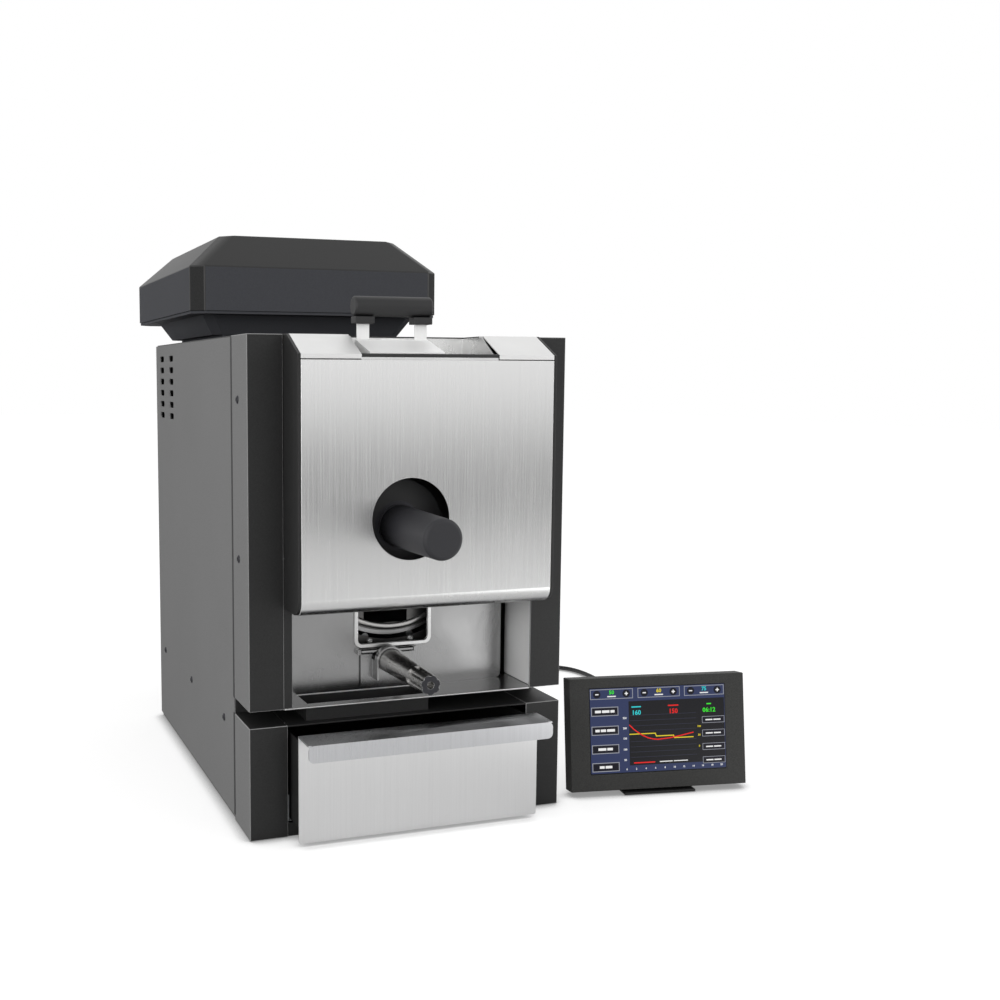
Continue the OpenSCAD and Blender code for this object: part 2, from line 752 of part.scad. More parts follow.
// spigot, shroud and three arms that carry the fan motor
module fan_mount() color("darkgray") {
  shroud_y = [wheel_y[0] - 4, fan_y[1] - sheet];
  bore_r = spigot_r - spigot_wall;
  tube_y(0, spigot_z, [fan_y[1] - sheet - 4, fan_y[1] + gap], spigot_r - 1, bore_r);
  tube_y(0, spigot_z, [fan_y[1] + gap, fan_y[1] + gap + spigot_len], spigot_r, bore_r);
  tube_y(0, spigot_z, [fan_y[1] - sheet - 4, fan_y[1] - sheet], wheel_r + 6, bore_r);
  tube_y(0, spigot_z, shroud_y, wheel_r + 6, wheel_r + 4);
  for (a = [90, 210, 330])
    translate([0, front_y, spigot_z]) rotate([0, a, 0])
      translate([18, wheel_y[0] - 10, -3]) cube([wheel_r + 6 - 18, 8, 6]);
  rod_y(0, spigot_z, [wheel_y[0] - 44, wheel_y[0] - 2], 20);
  rod_y(0, spigot_z, [wheel_y[0] - 2, wheel_y[1] - 6], 3);
}

module fan_wheel() color("dimgray") {
  difference() {
    union() {
      rod_y(0, spigot_z, [wheel_y[0], wheel_y[0] + 1.5], wheel_r);
      rod_y(0, spigot_z, [wheel_y[0], wheel_y[1] - 8], 9);
      tube_y(0, spigot_z, [wheel_y[1] - 2, wheel_y[1]], wheel_r, wheel_r - 12);
      for (a = [0:15:345])
        translate([0, front_y, spigot_z]) rotate([0, a, 0])
          translate([wheel_r - 11, wheel_y[0] + 1, -0.5]) cube([10.5, wheel_y[1] - wheel_y[0] - 2, 1]);
    }
    rod_y(0, spigot_z, [wheel_y[0] - eps, wheel_y[1] - 6 + gap], 3 + run);
  }
}

// ---- mains inlet, switch and screws ----

// moulded frame with the inlet socket and the switch seat
module power_inlet() color("black")
  difference() {
    union() {
      block(inlet_x, [case_d, case_d + 2.5], inlet_z);
      block([inlet_x[0] + 3 + gap, inlet_x[1] - 3 - gap], [case_d - 24, case_d],
            [inlet_z[0] + 3 + gap, inlet_z[1] - 3 - gap]);
    }
    block(rocker_x, [case_d - 12, case_d + 5], [inlet_z[0] + 5, inlet_z[1] - 5]);
    block([-60, -36], [case_d - 16, case_d + 5], [inlet_z[0] + 7, inlet_z[1] - 7]);
  }

module power_rocker() color("red")
  intersection() {
    rod_x(case_d - 4, 51, [rocker_x[0] + 0.4, rocker_x[1] - 0.4], 9);
    block([-100, 0], [case_d - 8, case_d + 6], [inlet_z[0] + 5.6, inlet_z[1] - 5.6]);
  }

// round screw heads on both sides of the case and on the drum head
module case_screws() color("silver") {
  both_sides()
    for (at = [[27, case_h - 46], [27, case_h - 161],
               [79, lower_h - 12], [203, lower_h - 12], [case_d - 29, lower_h - 12]])
      rod_x(at[0], at[1], [half_w, half_w + sheet], 3);
  for (x = [-15, 19]) rod_y(x, drum_z - 76.5, [head_y[0] - 1.6, head_y[0]], 2.4);
}

// ---- chaff hood ----

// eight-sided outline between x and y limits, with cut corners
function eight(x, y, c) = [
  [-x + c, y[0]], [x - c, y[0]], [x, y[0] + c], [x, y[1] - c], [x - c, y[1]], [-x + c, y[1]],
  [-x, y[1] - c], [-x, y[0] + c]
];

module slab(x, y, c, z)
  translate([0, front_y, z[0]]) linear_extrude(z[1] - z[0]) polygon(eight(x, y, c));

// solid that joins a lower and an upper eight-sided outline
module eight_taper(low, high)
  hull() {
    slab(low[0], low[1], low[2], [low[3], low[3] + 0.01]);
    slab(high[0], high[1], high[2], [high[3] - 0.01, high[3]]);
  }

function grow(y, d) = [y[0] - d, y[1] + d];

// flared bin under the cover, on the skirt that stands on the case and the fan housing
module hood_base() color("black") {
  t = hood_t;
  bin_c = 8;
  difference() {
    union() {
      eight_taper([bin_x, bin_y, bin_c, bin_z], [bin_x + bin_flare, grow(bin_y, bin_flare), bin_c, ledge_z]);
      slab(hood_w / 2 - 1, grow(hood_y, -1), hood_chamfer, [ledge_z, hood_z - 0.3]);
    }
    eight_taper([bin_x - t, grow(bin_y, -t), bin_c, bin_z + t],
                [bin_x + bin_flare - t, grow(bin_y, bin_flare - t), bin_c, ledge_z + 0.01]);
    slab(bin_x + bin_flare - t, grow(bin_y, bin_flare - t), bin_c, [ledge_z - 1, hood_z + eps]);
    block([duct_x[0] + sheet, duct_x[1] - sheet], grow(outlet_y, -sheet), [bin_z - eps, bin_z + 5]);
    block([-38, 38], fan_port, [bin_z - eps, bin_z + 5]);
  }
  difference() {
    block([-80, 80], skirt_y, [case_h, bin_z]);
    block([-78, 78], grow(skirt_y, -2), [case_h - eps, bin_z + eps]);
  }
  for (side = [-1, 1]) {
    x = side * 50;
    rod_x(hinge_y, hinge_z, [x - 22, x + 22], hinge_pin_r);
    for (ear = [-1, 1])
      {
        ear_x = [x + ear * 16.3 - 5.7, x + ear * 16.3 + 5.7];
        rod_x(hinge_y, hinge_z, ear_x, hinge_r);
        block(ear_x, [hood_y[1] - 6, hinge_y], [ledge_z, hood_z - 0.3]);
      }
  }
}

module hood_cover() color("dimgray") {
  t = hood_t;
  x = hood_w / 2;
  band_top = hood_z + band_h;
  crown = band_top + crown_h;
  top_y = grow(hood_y, -crown_in[1]);
  difference() {
    union() {
      slab(x, hood_y, hood_chamfer, [hood_z, band_top]);
      eight_taper([x, hood_y, hood_chamfer, band_top - 0.01], [x - crown_in[0], top_y, hood_chamfer, crown]);
    }
    slab(x - t, grow(hood_y, -t), hood_chamfer - 0.6, [hood_z - eps, band_top - 1]);
    eight_taper([x - t, grow(hood_y, -t), hood_chamfer - 0.6, band_top - 1.01],
                [x - crown_in[0] - t, grow(top_y, -t), hood_chamfer - 0.6, crown - t]);
  }
  for (side = [-1, 1])
    difference() {
      union() {
        rod_x(hinge_y, hinge_z, [side * 50 - 10, side * 50 + 10], hinge_r);
        block([side * 50 - 10, side * 50 + 10], [hood_y[1] - 0.5, hinge_y],
              [hinge_z - 1.6, hinge_z + hinge_r]);
      }
      rod_x(hinge_y, hinge_z, [side * 50 - 12, side * 50 + 12], hinge_pin_r + run);
    }
}

// slotted plate across the bin that holds the chaff back from the fan
module chaff_screen() color("silver")
  difference() {
    block([-84, 84], [case_d - 5, case_d - 5 + sheet], [bin_z + hood_t, ledge_z]);
    for (x = [-78:8:74])
      block([x, x + 4], [case_d - 7, case_d - 2], [bin_z + hood_t + 3, ledge_z - 3]);
  }

// ---- drawer ----

module drawer_front() color("silver") {
  x = drawer_w / 2;
  plate_y([drawer_y, drawer_y + sheet]) round_rect([-x, x], drawer_z, 1.5);
  block([-x, x], [drawer_y - lip_out + sheet, drawer_y + sheet], [drawer_z[1] - sheet, drawer_z[1]]);
  plate_y([drawer_y - lip_out, drawer_y - lip_out + sheet])
    round_rect([-x, x], [drawer_z[1] - lip_h, drawer_z[1]], 4);
}

module drawer_tray() color("black")
  difference() {
    block([-tray_x, tray_x], [drawer_y + sheet, drawer_y + sheet + drawer_len], tray_z);
    block([-tray_x + sheet, tray_x - sheet], [drawer_y + 2 * sheet, drawer_y + drawer_len],
          [tray_z[0] + sheet, tray_z[1] + eps]);
  }

module drawer_runners() color("gray")
  both_sides() {
    y = [4, drawer_y + drawer_len];
    web = tray_x + 1.2;
    pan_top = pan_floor + sheet;
    block([web, web + sheet], y, [pan_top, 30]);
    block([web - 9, web], y, [tray_z[0] - gap - sheet, tray_z[0] - gap]);
    block([web, web + 10], y, [pan_top, pan_top + sheet]);
  }

// ---- display and its cable ----

// local frame of the display: x across, y into the housing, z up its face
module on_display()
  translate(display_at) rotate([0, 0, display_turn]) rotate([-display_lean, 0, 0]) children();

// plate in the window of the housing, shrunk by d, between two depths
module screen_plate(d, y)
  translate([screen_in[0] + d, y[0], screen_in[1] + d])
    cube([display_w - 2 * screen_in[0] - 2 * d, y[1] - y[0],
          display_h - screen_in[1] - screen_in[2] - 2 * d]);

module display_housing() color("dimgray")
  on_display() difference() {
    cube([display_w, display_t, display_h]);
    screen_plate(0, [-eps, screen_deep]);
  }

module display_screen() color("navy")
  on_display() screen_plate(gap, [0.5, screen_deep - 0.1]);

// bent sheet foot that carries the display
module display_stand() color("black")
  translate([display_at[0], display_at[1], 0]) rotate([0, 0, display_turn]) {
    x = plug_at[0] - 74.7;
    lean_y = display_t * cos(display_lean);
    lean_z = display_at[2] - display_t * sin(display_lean);
    translate([x, 0, 0]) rotate([90, 0, 90]) linear_extrude(stand_w)
      polygon([
        [-1.5, 0], [62, 0], [62, 2], [lean_y + 7, 2],
        [lean_y + 2.3 + 50 * sin(display_lean), lean_z + 50 * cos(display_lean)],
        [lean_y + 0.3 + 50 * sin(display_lean), lean_z + 50 * cos(display_lean)],
        [lean_y + 0.3, 2], [-1.5, 2]
      ]);
  }

module cable_plug() color("black")
  on_display() translate([plug_at[0], display_t, plug_at[1]]) rotate([-90, 0, 0]) {
    cylinder(h = 14, r = 6);
    translate([0, 0, 14]) cylinder(h = 8, r1 = 4.6, r2 = 3.6);
  }

module cable_gland() color("black") {
  rod_y(gland_at[0], gland_at[1], [case_d - 8, case_d], gland_r - 2 - gap);
  rod_y(gland_at[0], gland_at[1], [case_d, case_d + 6], gland_r);
  translate([gland_at[0], front_y + case_d + 6, gland_at[1]]) rotate([-90, 0, 0])
    cylinder(h = 20, r1 = 5.5, r2 = 3.4);
}

cable_sides = 10;
cable_steps = 2;

// point at share t of the span after route point i, on a smooth curve through the whole route
function route_point(i, t) =
  let (
    last = len(cable_route) - 1,
    a = cable_route[max(i - 1, 0)], b = cable_route[i],
    c = cable_route[min(i + 1, last)], d = cable_route[min(i + 2, last)]
  )
  0.5 * (2 * b + t * (c - a) + t * t * (2 * a - 5 * b + 4 * c - d) + t * t * t * (3 * b - a - 3 * c + d));

cable_line = concat(
  [for (i = [0:len(cable_route) - 2], k = [0:cable_steps - 1]) route_point(i, k / cable_steps)],
  [cable_route[len(cable_route) - 1]]
);

// ring of the cable tube around point i, square to the line
function cable_ring(i) =
  let (
    v = cable_line[min(i + 1, len(cable_line) - 1)] - cable_line[max(i - 1, 0)],
    side = cross(v, [0, 0, 1]) / norm(cross(v, [0, 0, 1])),
    up = cross(side, v) / norm(v)
  )
  [for (k = [0:cable_sides - 1])
    cable_line[i] + cable_r * (cos(k * 360 / cable_sides) * side + sin(k * 360 / cable_sides) * up)];

module display_cable() color("black") {
  rings = len(cable_line);
  n = cable_sides;
  points = [for (i = [0:rings - 1]) each cable_ring(i)];
  walls = [for (i = [0:rings - 2], k = [0:n - 1])
    each [[i * n + k, (i + 1) * n + (k + 1) % n, i * n + (k + 1) % n],
          [i * n + k, (i + 1) * n + k, (i + 1) * n + (k + 1) % n]]];
  start = [for (k = [0:n - 1]) k];
  finish = [for (k = [0:n - 1]) rings * n - 1 - k];
  polyhedron(points = points, faces = concat(walls, [start, finish]));
}

// ---- the parts, one at a time or all together ----

base_pan();
rubber_feet();
left_side_panel();
right_side_panel();
top_plate();
rear_panel();
upper_left_column();
upper_right_column();
lower_columns();
base_deck();
front_panel();
front_cheeks();
shoulder_plates();
hopper();
hopper_lip();
gate_plate();
gate_brackets();
gate_grip();
alcove_back();
alcove_floor();
alcove_walls();
window_rim();
discharge_door();
discharge_lever();
sampler_collar();
sampler_sleeve();
sampler_spoon();
sampler_grip();
drum_head();
drum_bulkhead();
drum();
drum_shaft();
drum_bearing();
drum_pulley();
drive_belt();
motor_pulley();
drive_motor();
heater_rods();
heat_jacket();
bean_probe();
control_board();
exhaust_duct();
fan_housing();
fan_mount();
fan_wheel();
power_inlet();
power_rocker();
case_screws();
hood_base();
hood_cover();
chaff_screen();
drawer_front();
drawer_tray();
drawer_runners();
display_housing();
display_screen();
display_stand();
cable_gland();
display_cable();
cable_plug();
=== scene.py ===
"""Looks of a home coffee bean roaster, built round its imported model.

Metres, +Z up, the front faces -Y, and the origin is on the floor under the middle of the case.
"""
from __future__ import annotations

import logging
import math
from dataclasses import dataclass, field
from enum import Enum
from typing import Callable, Iterable, Sequence

import bmesh
import bpy
from mathutils import Matrix, Vector

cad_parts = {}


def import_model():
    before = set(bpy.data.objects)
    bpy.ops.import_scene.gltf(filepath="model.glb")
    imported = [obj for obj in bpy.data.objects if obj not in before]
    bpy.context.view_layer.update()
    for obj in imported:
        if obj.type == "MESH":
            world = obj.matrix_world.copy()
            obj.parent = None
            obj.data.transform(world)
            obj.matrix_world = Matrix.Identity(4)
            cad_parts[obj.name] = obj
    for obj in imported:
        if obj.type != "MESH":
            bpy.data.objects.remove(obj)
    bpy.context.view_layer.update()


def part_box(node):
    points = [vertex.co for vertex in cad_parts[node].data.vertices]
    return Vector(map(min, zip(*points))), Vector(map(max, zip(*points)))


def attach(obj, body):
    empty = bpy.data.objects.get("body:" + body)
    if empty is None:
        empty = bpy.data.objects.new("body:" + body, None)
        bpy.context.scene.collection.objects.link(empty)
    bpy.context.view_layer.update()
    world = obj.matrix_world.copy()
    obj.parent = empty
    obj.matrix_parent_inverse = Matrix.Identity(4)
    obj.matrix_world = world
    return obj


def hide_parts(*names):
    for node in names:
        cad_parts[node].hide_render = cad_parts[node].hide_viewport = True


LOG = logging.getLogger("roaster")
MM = 0.001
FRONT = -0.1775  # y of the front face of the case
THIN_EDGE = 0.0003  # how far the round of a folded sheet's edge reaches
SHEET_EDGE = 0.0004
THICK_EDGE = 0.0005
Point = Sequence[float]
Span = tuple[float, float]
Triple = tuple[float, float, float]
Spread = tuple[float, float, float, float]
Colour = tuple[float, float, float, float]


def linear(red: float, green: float, blue: float) -> Colour:
    """Turns a colour written as 0 to 255 into the shader's scale.

    Args:
        red: Red as it shows on a screen.
        green: Green as it shows on a screen.
        blue: Blue as it shows on a screen.

    Returns:
        The colour in linear light, with an alpha of 1.
    """
    def step(value: float) -> float:
        """One channel."""
        share = value / 255
        return share / 12.92 if share <= 0.04045 else ((share + 0.055) / 1.055) ** 2.4
    return step(red), step(green), step(blue), 1.0


def shade(colour: Colour, factor: float) -> Colour:
    """A colour made darker or lighter."""
    return tuple(min(1.0, c * factor) for c in colour[:3]) + (1.0,)


def grey(tone: float) -> Colour:
    """A grey in linear light."""
    return tone, tone, tone, 1.0


# ---- shader tools ----


@dataclass
class Number:
    """A number that changes over a surface, with the arithmetic that the finishes use."""

    nodes: "Nodes"
    socket: bpy.types.NodeSocket

    def _with(self, operation: str, other: "Number | float", swapped: bool = False) -> "Number":
        """Adds one Math node.

        Args:
            operation: The node's operation.
            other: The second value.
            swapped: True where the other value comes first.

        Returns:
            The result.
        """
        pair = (other, self) if swapped else (self, other)
        node = self.nodes.add("ShaderNodeMath", {"operation": operation}, {0: pair[0], 1: pair[1]})
        return Number(self.nodes, node.outputs[0])

    def __add__(self, other: "Number | float") -> "Number":
        """self + other"""
        return self._with("ADD", other)

    def __radd__(self, other: float) -> "Number":
        """other + self"""
        return self._with("ADD", other, True)

    def __sub__(self, other: "Number | float") -> "Number":
        """self - other"""
        return self._with("SUBTRACT", other)

    def __rsub__(self, other: float) -> "Number":
        """other - self"""
        return self._with("SUBTRACT", other, True)

    def __mul__(self, other: "Number | float") -> "Number":
        """self * other"""
        return self._with("MULTIPLY", other)

    def __rmul__(self, other: float) -> "Number":
        """other * self"""
        return self._with("MULTIPLY", other, True)

    def spread(self, low: float, high: float, to_low: float = 0.0, to_high: float = 1.0) -> "Number":
        """Stretches a range to another one and stops at its ends.

        Args:
            low: Where the range starts.
            high: Where it ends.
            to_low: What its start becomes.
            to_high: What its end becomes.

        Returns:
            The stretched number.
        """
        node = self.nodes.add("ShaderNodeMapRange", {"clamp": True}, {
            0: self, 1: low, 2: high, 3: to_low, 4: to_high})
        return Number(self.nodes, node.outputs[0])


class Nodes:
    """The nodes of a material or of the world."""

    def __init__(self, tree: bpy.types.NodeTree) -> None:
        """Starts with an emptied tree."""
        self.tree = tree
        self.tree.nodes.clear()

    def add(self, kind: str, settings: dict | None = None, sockets: dict | None = None) -> bpy.types.Node:
        """Adds a node.

        Args:
            kind: The node's type.
            settings: What is set on the node, before its sockets.
            sockets: The value or the link of each input, by name or place.

        Returns:
            The node.
        """
        node = self.tree.nodes.new(kind)
        for key, value in (settings or {}).items():
            setattr(node, key, value)
        for key, value in (sockets or {}).items():
            if isinstance(value, Number):
                value = value.socket
            if isinstance(value, bpy.types.NodeSocket):
                self.tree.links.new(value, node.inputs[key])
            else:
                node.inputs[key].default_value = value
        return node

    def place(self, scale: Point = (1, 1, 1)) -> bpy.types.NodeSocket:
        """Object coordinates.

        Args:
            scale: How much finer a pattern gets along each axis.

        Returns:
            The coordinates.
        """
        where = self.add("ShaderNodeTexCoord").outputs["Object"]
        node = self.add("ShaderNodeMapping", {"vector_type": "POINT"}, {"Vector": where, "Scale": scale})
        return node.outputs["Vector"]

    def noise(self, scale: float, detail: float = 2.0, rough: float = 0.5,
              at: bpy.types.NodeSocket | None = None, twist: float = 0.0) -> Number:
        """Noise from 0 to 1.

        Args:
            scale: Cells in a metre.
            detail: Finer layers.
            rough: Share of each finer layer.
            at: Coordinates, the object's own if left out.
            twist: Distortion.

        Returns:
            The noise's value.
        """
        node = self.add("ShaderNodeTexNoise", {"noise_dimensions": "3D"}, {
            "Vector": at or self.place(), "Scale": scale, "Detail": detail, "Roughness": rough,
            "Distortion": twist})
        return Number(self, node.outputs["Fac"])

    def mix(self, share: "Number | float", first: Point, second: Point) -> bpy.types.NodeSocket:
        """Mixes two colours.

        Args:
            share: How much of the second one shows.
            first: The first colour.
            second: The second colour.

        Returns:
            The mixed colour.
        """
        node = self.add("ShaderNodeMix", {"data_type": "RGBA", "clamp_result": True}, {
            0: share, 6: first, 7: second})
        return node.outputs[2]

    def bump(self, height: Number, depth: float, strength: float) -> bpy.types.NodeSocket:
        """Turns a height into a normal.

        Args:
            height: The height, from 0 to 1.
            depth: What a height of 1 is, in metres.
            strength: How much of it shows.

        Returns:
            The normal.
        """
        node = self.add("ShaderNodeBump", {}, {"Height": height, "Distance": depth, "Strength": strength})
        return node.outputs[0]


class Shader(Nodes):
    """A material in the making."""

    def __init__(self, name: str) -> None:
        """Starts an empty material.

        Args:
            name: The material's name.
        """
        self.material = bpy.data.materials.new(name)
        self.material.use_nodes = True
        super().__init__(self.material.node_tree)
        self.output = self.tree.nodes.new("ShaderNodeOutputMaterial")

    def finish_with(self, last: bpy.types.Node) -> bpy.types.Material:
        """Joins the last node to the output."""
        self.tree.links.new(last.outputs[0], self.output.inputs["Surface"])
        return self.material

    def surface(self, **sockets: object) -> bpy.types.Material:
        """Adds the surface shader and ends the material.

        Args:
            sockets: Inputs by name, with _ for a space.

        Returns:
            The finished material.
        """
        named = {key.replace("_", " "): value for key, value in sockets.items()}
        return self.finish_with(self.add("ShaderNodeBsdfPrincipled", {}, named))


# ---- finishes ----


class Grain(Enum):
    """The direction in which a sheet was brushed, as the stretch of its noise along x, y and z."""

    UPRIGHT = (1.0, 1.0, 0.008)
    DEEP = (1.0, 0.008, 1.0)


@dataclass(frozen=True)
class Finish:
    """A finish that several pieces share."""

    name: str

    def build(self) -> bpy.types.Material:
        """Makes the material."""
        raise NotImplementedError

    def material(self) -> bpy.types.Material:
        """The material, made once."""
        return bpy.data.materials.get(self.name) or self.build()


@dataclass(frozen=True)
class PowderCoat(Finish):
    """Baked powder paint with its orange-peel grain: sizes in metres, shares from 0 to 1."""

    colour: Colour = linear(38, 38, 38)
    roughness: float = 0.5
    cell: float = 0.0009
    depth: float = 0.00006
    fleck: float = 0.25
    gloss: float = 0.5
    cloud_cells: float = 9.0  # in a metre
    cloud_share: float = 0.12
    darkest: float = 0.82
    lightest: float = 1.55
    uneven: float = 0.12

    def build(self) -> bpy.types.Material:
        """Makes the material."""
        s = Shader(self.name)
        grain = s.noise(1 / self.cell, detail=3.0, rough=0.6)
        cloud = s.noise(self.cloud_cells)
        mix = grain.spread(0.3, 0.7) * self.fleck + cloud * self.cloud_share
        dark, light = shade(self.colour, self.darkest), shade(self.colour, self.lightest)
        return s.surface(Base_Color=s.mix(mix, dark, light),
                         Roughness=grain * self.uneven + (self.roughness - self.uneven / 2),
                         Normal=s.bump(grain, self.depth, strength=0.8), Specular_IOR_Level=self.gloss)


@dataclass(frozen=True)
class BrushedSteel(Finish):
    """Stainless sheet with a brushed grain: cells are counted in a metre."""

    grain: Grain = Grain.UPRIGHT
    tone: Colour = grey(0.62)
    roughness: float = 0.3
    streak: float = 0.14
    stretch: float = 0.85
    fine_cells: float = 5200.0
    broad_cells: float = 900.0
    cloud_cells: float = 5.0
    fine_share: float = 0.55
    broad_share: float = 0.45
    tone_reach: float = 0.45
    line_uneven: float = 0.1
    cloud_uneven: float = 0.06
    line_depth: float = 0.000012

    def build(self) -> bpy.types.Material:
        """Makes the material."""
        s = Shader(self.name)
        at = s.place(self.grain.value)
        fine = s.noise(self.fine_cells, rough=0.7, at=at)
        broad = s.noise(self.broad_cells, detail=3.0, rough=0.6, at=at)
        cloud = s.noise(self.cloud_cells, detail=1.0)
        lines = fine.spread(0.25, 0.75) * self.fine_share + broad.spread(0.3, 0.7) * self.broad_share
        reach = self.tone_reach * self.streak
        middle = (self.line_uneven + self.cloud_uneven) / 2
        uneven = lines * self.line_uneven + cloud * self.cloud_uneven
        return s.surface(Base_Color=s.mix(lines, shade(self.tone, 1 - reach), shade(self.tone, 1 + reach)),
                         Metallic=1.0, Anisotropic=self.stretch, Roughness=uneven + (self.roughness - middle),
                         Normal=s.bump(lines, self.line_depth, strength=0.4))


@dataclass(frozen=True)
class BrightSteel(Finish):
    """Smooth stainless with faint handling marks: cells are counted in a metre."""

    tone: Colour = grey(0.7)
    roughness: float = 0.16
    ripple: float = 0.0002
    metallic: float = 1.0
    smear_cells: float = 26.0
    fine_cells: float = 2400.0
    wave_cells: float = 14.0
    fine_stretch: Triple = (1.0, 1.0, 0.02)
    smear_dark: float = 0.9
    smear_uneven: float = 0.1
    fine_uneven: float = 0.04

    def build(self) -> bpy.types.Material:
        """Makes the material."""
        s = Shader(self.name)
        smear = s.noise(self.smear_cells, detail=3.0, rough=0.55, twist=0.6)
        fine = s.noise(self.fine_cells, detail=1.0, at=s.place(self.fine_stretch))
        wave = s.noise(self.wave_cells, detail=1.0, rough=0.4)
        marks = smear.spread(0.35, 0.75) * self.smear_uneven
        return s.surface(Base_Color=s.mix(smear, self.tone, shade(self.tone, self.smear_dark)),
                         Metallic=self.metallic,
                         Roughness=marks + (fine * self.fine_uneven + (self.roughness - self.fine_uneven)),
                         Normal=s.bump(wave, self.ripple, strength=0.6))


@dataclass(frozen=True)
class Moulding(Finish):
    """Matte moulded plastic or rubber with a spark-eroded grain."""

    colour: Colour = linear(48, 48, 48)
    roughness: float = 0.55
    cell: float = 0.0004
    depth: float = 0.00002
    cloud_cells: float = 18.0  # in a metre
    cloud_share: float = 0.6
    grain_share: float = 0.3
    lightest: float = 1.25
    uneven: float = 0.08

    def build(self) -> bpy.types.Material:
        """Makes the material."""
        s = Shader(self.name)
        grain = s.noise(1 / self.cell)
        cloud = s.noise(self.cloud_cells)
        mix = cloud * self.cloud_share + grain * self.grain_share
        return s.surface(Base_Color=s.mix(mix, self.colour, shade(self.colour, self.lightest)),
                         Roughness=cloud * self.uneven + (self.roughness - self.uneven / 2),
                         Normal=s.bump(grain, self.depth, strength=0.7))


@dataclass(frozen=True)
class CastMetal(Finish):
    """Cast, sintered or zinc coated metal with a mottled face."""

    tone: Colour = grey(0.4)
    roughness: float = 0.45
    cell: float = 0.006
    contrast: float = 0.3
    fine_cells: float = 700.0  # in a metre
    flake_share: float = 0.6
    fine_share: float = 0.4
    uneven: float = 0.2
    depth: float = 0.00003

    def build(self) -> bpy.types.Material:
        """Makes the material."""
        s = Shader(self.name)
        cells = s.add("ShaderNodeTexVoronoi", {"feature": "F1"}, {
            "Vector": s.place(), "Scale": 1 / self.cell})
        flake = Number(s, cells.outputs["Distance"])
        fine = s.noise(self.fine_cells, rough=0.6)
        mix = flake.spread(0.1, 0.9) * self.flake_share + fine * self.fine_share
        return s.surface(Base_Color=s.mix(mix, self.tone, shade(self.tone, 1 - self.contrast)), Metallic=1.0,
                         Roughness=mix * self.uneven + (self.roughness - self.uneven / 2),
                         Normal=s.bump(fine, self.depth, strength=0.6))


@dataclass(frozen=True)
class Glow(Finish):
    """A lit shape on the display, under its glossy cover."""

    colour: Colour = grey(1.0)
    light: float = 0.85
    dot_cells: float = 9000.0  # in a metre
    dimmest: float = 0.9
    unlit: float = 0.15

    def build(self) -> bpy.types.Material:
        """Makes the material."""
        s = Shader(self.name)
        rows = s.noise(self.dot_cells, detail=0.0)
        lit = s.mix(rows, shade(self.colour, self.dimmest), self.colour)
        return s.surface(Base_Color=shade(self.colour, self.unlit), Roughness=0.25, Specular_IOR_Level=0.2,
                         Emission_Color=lit, Emission_Strength=self.light)


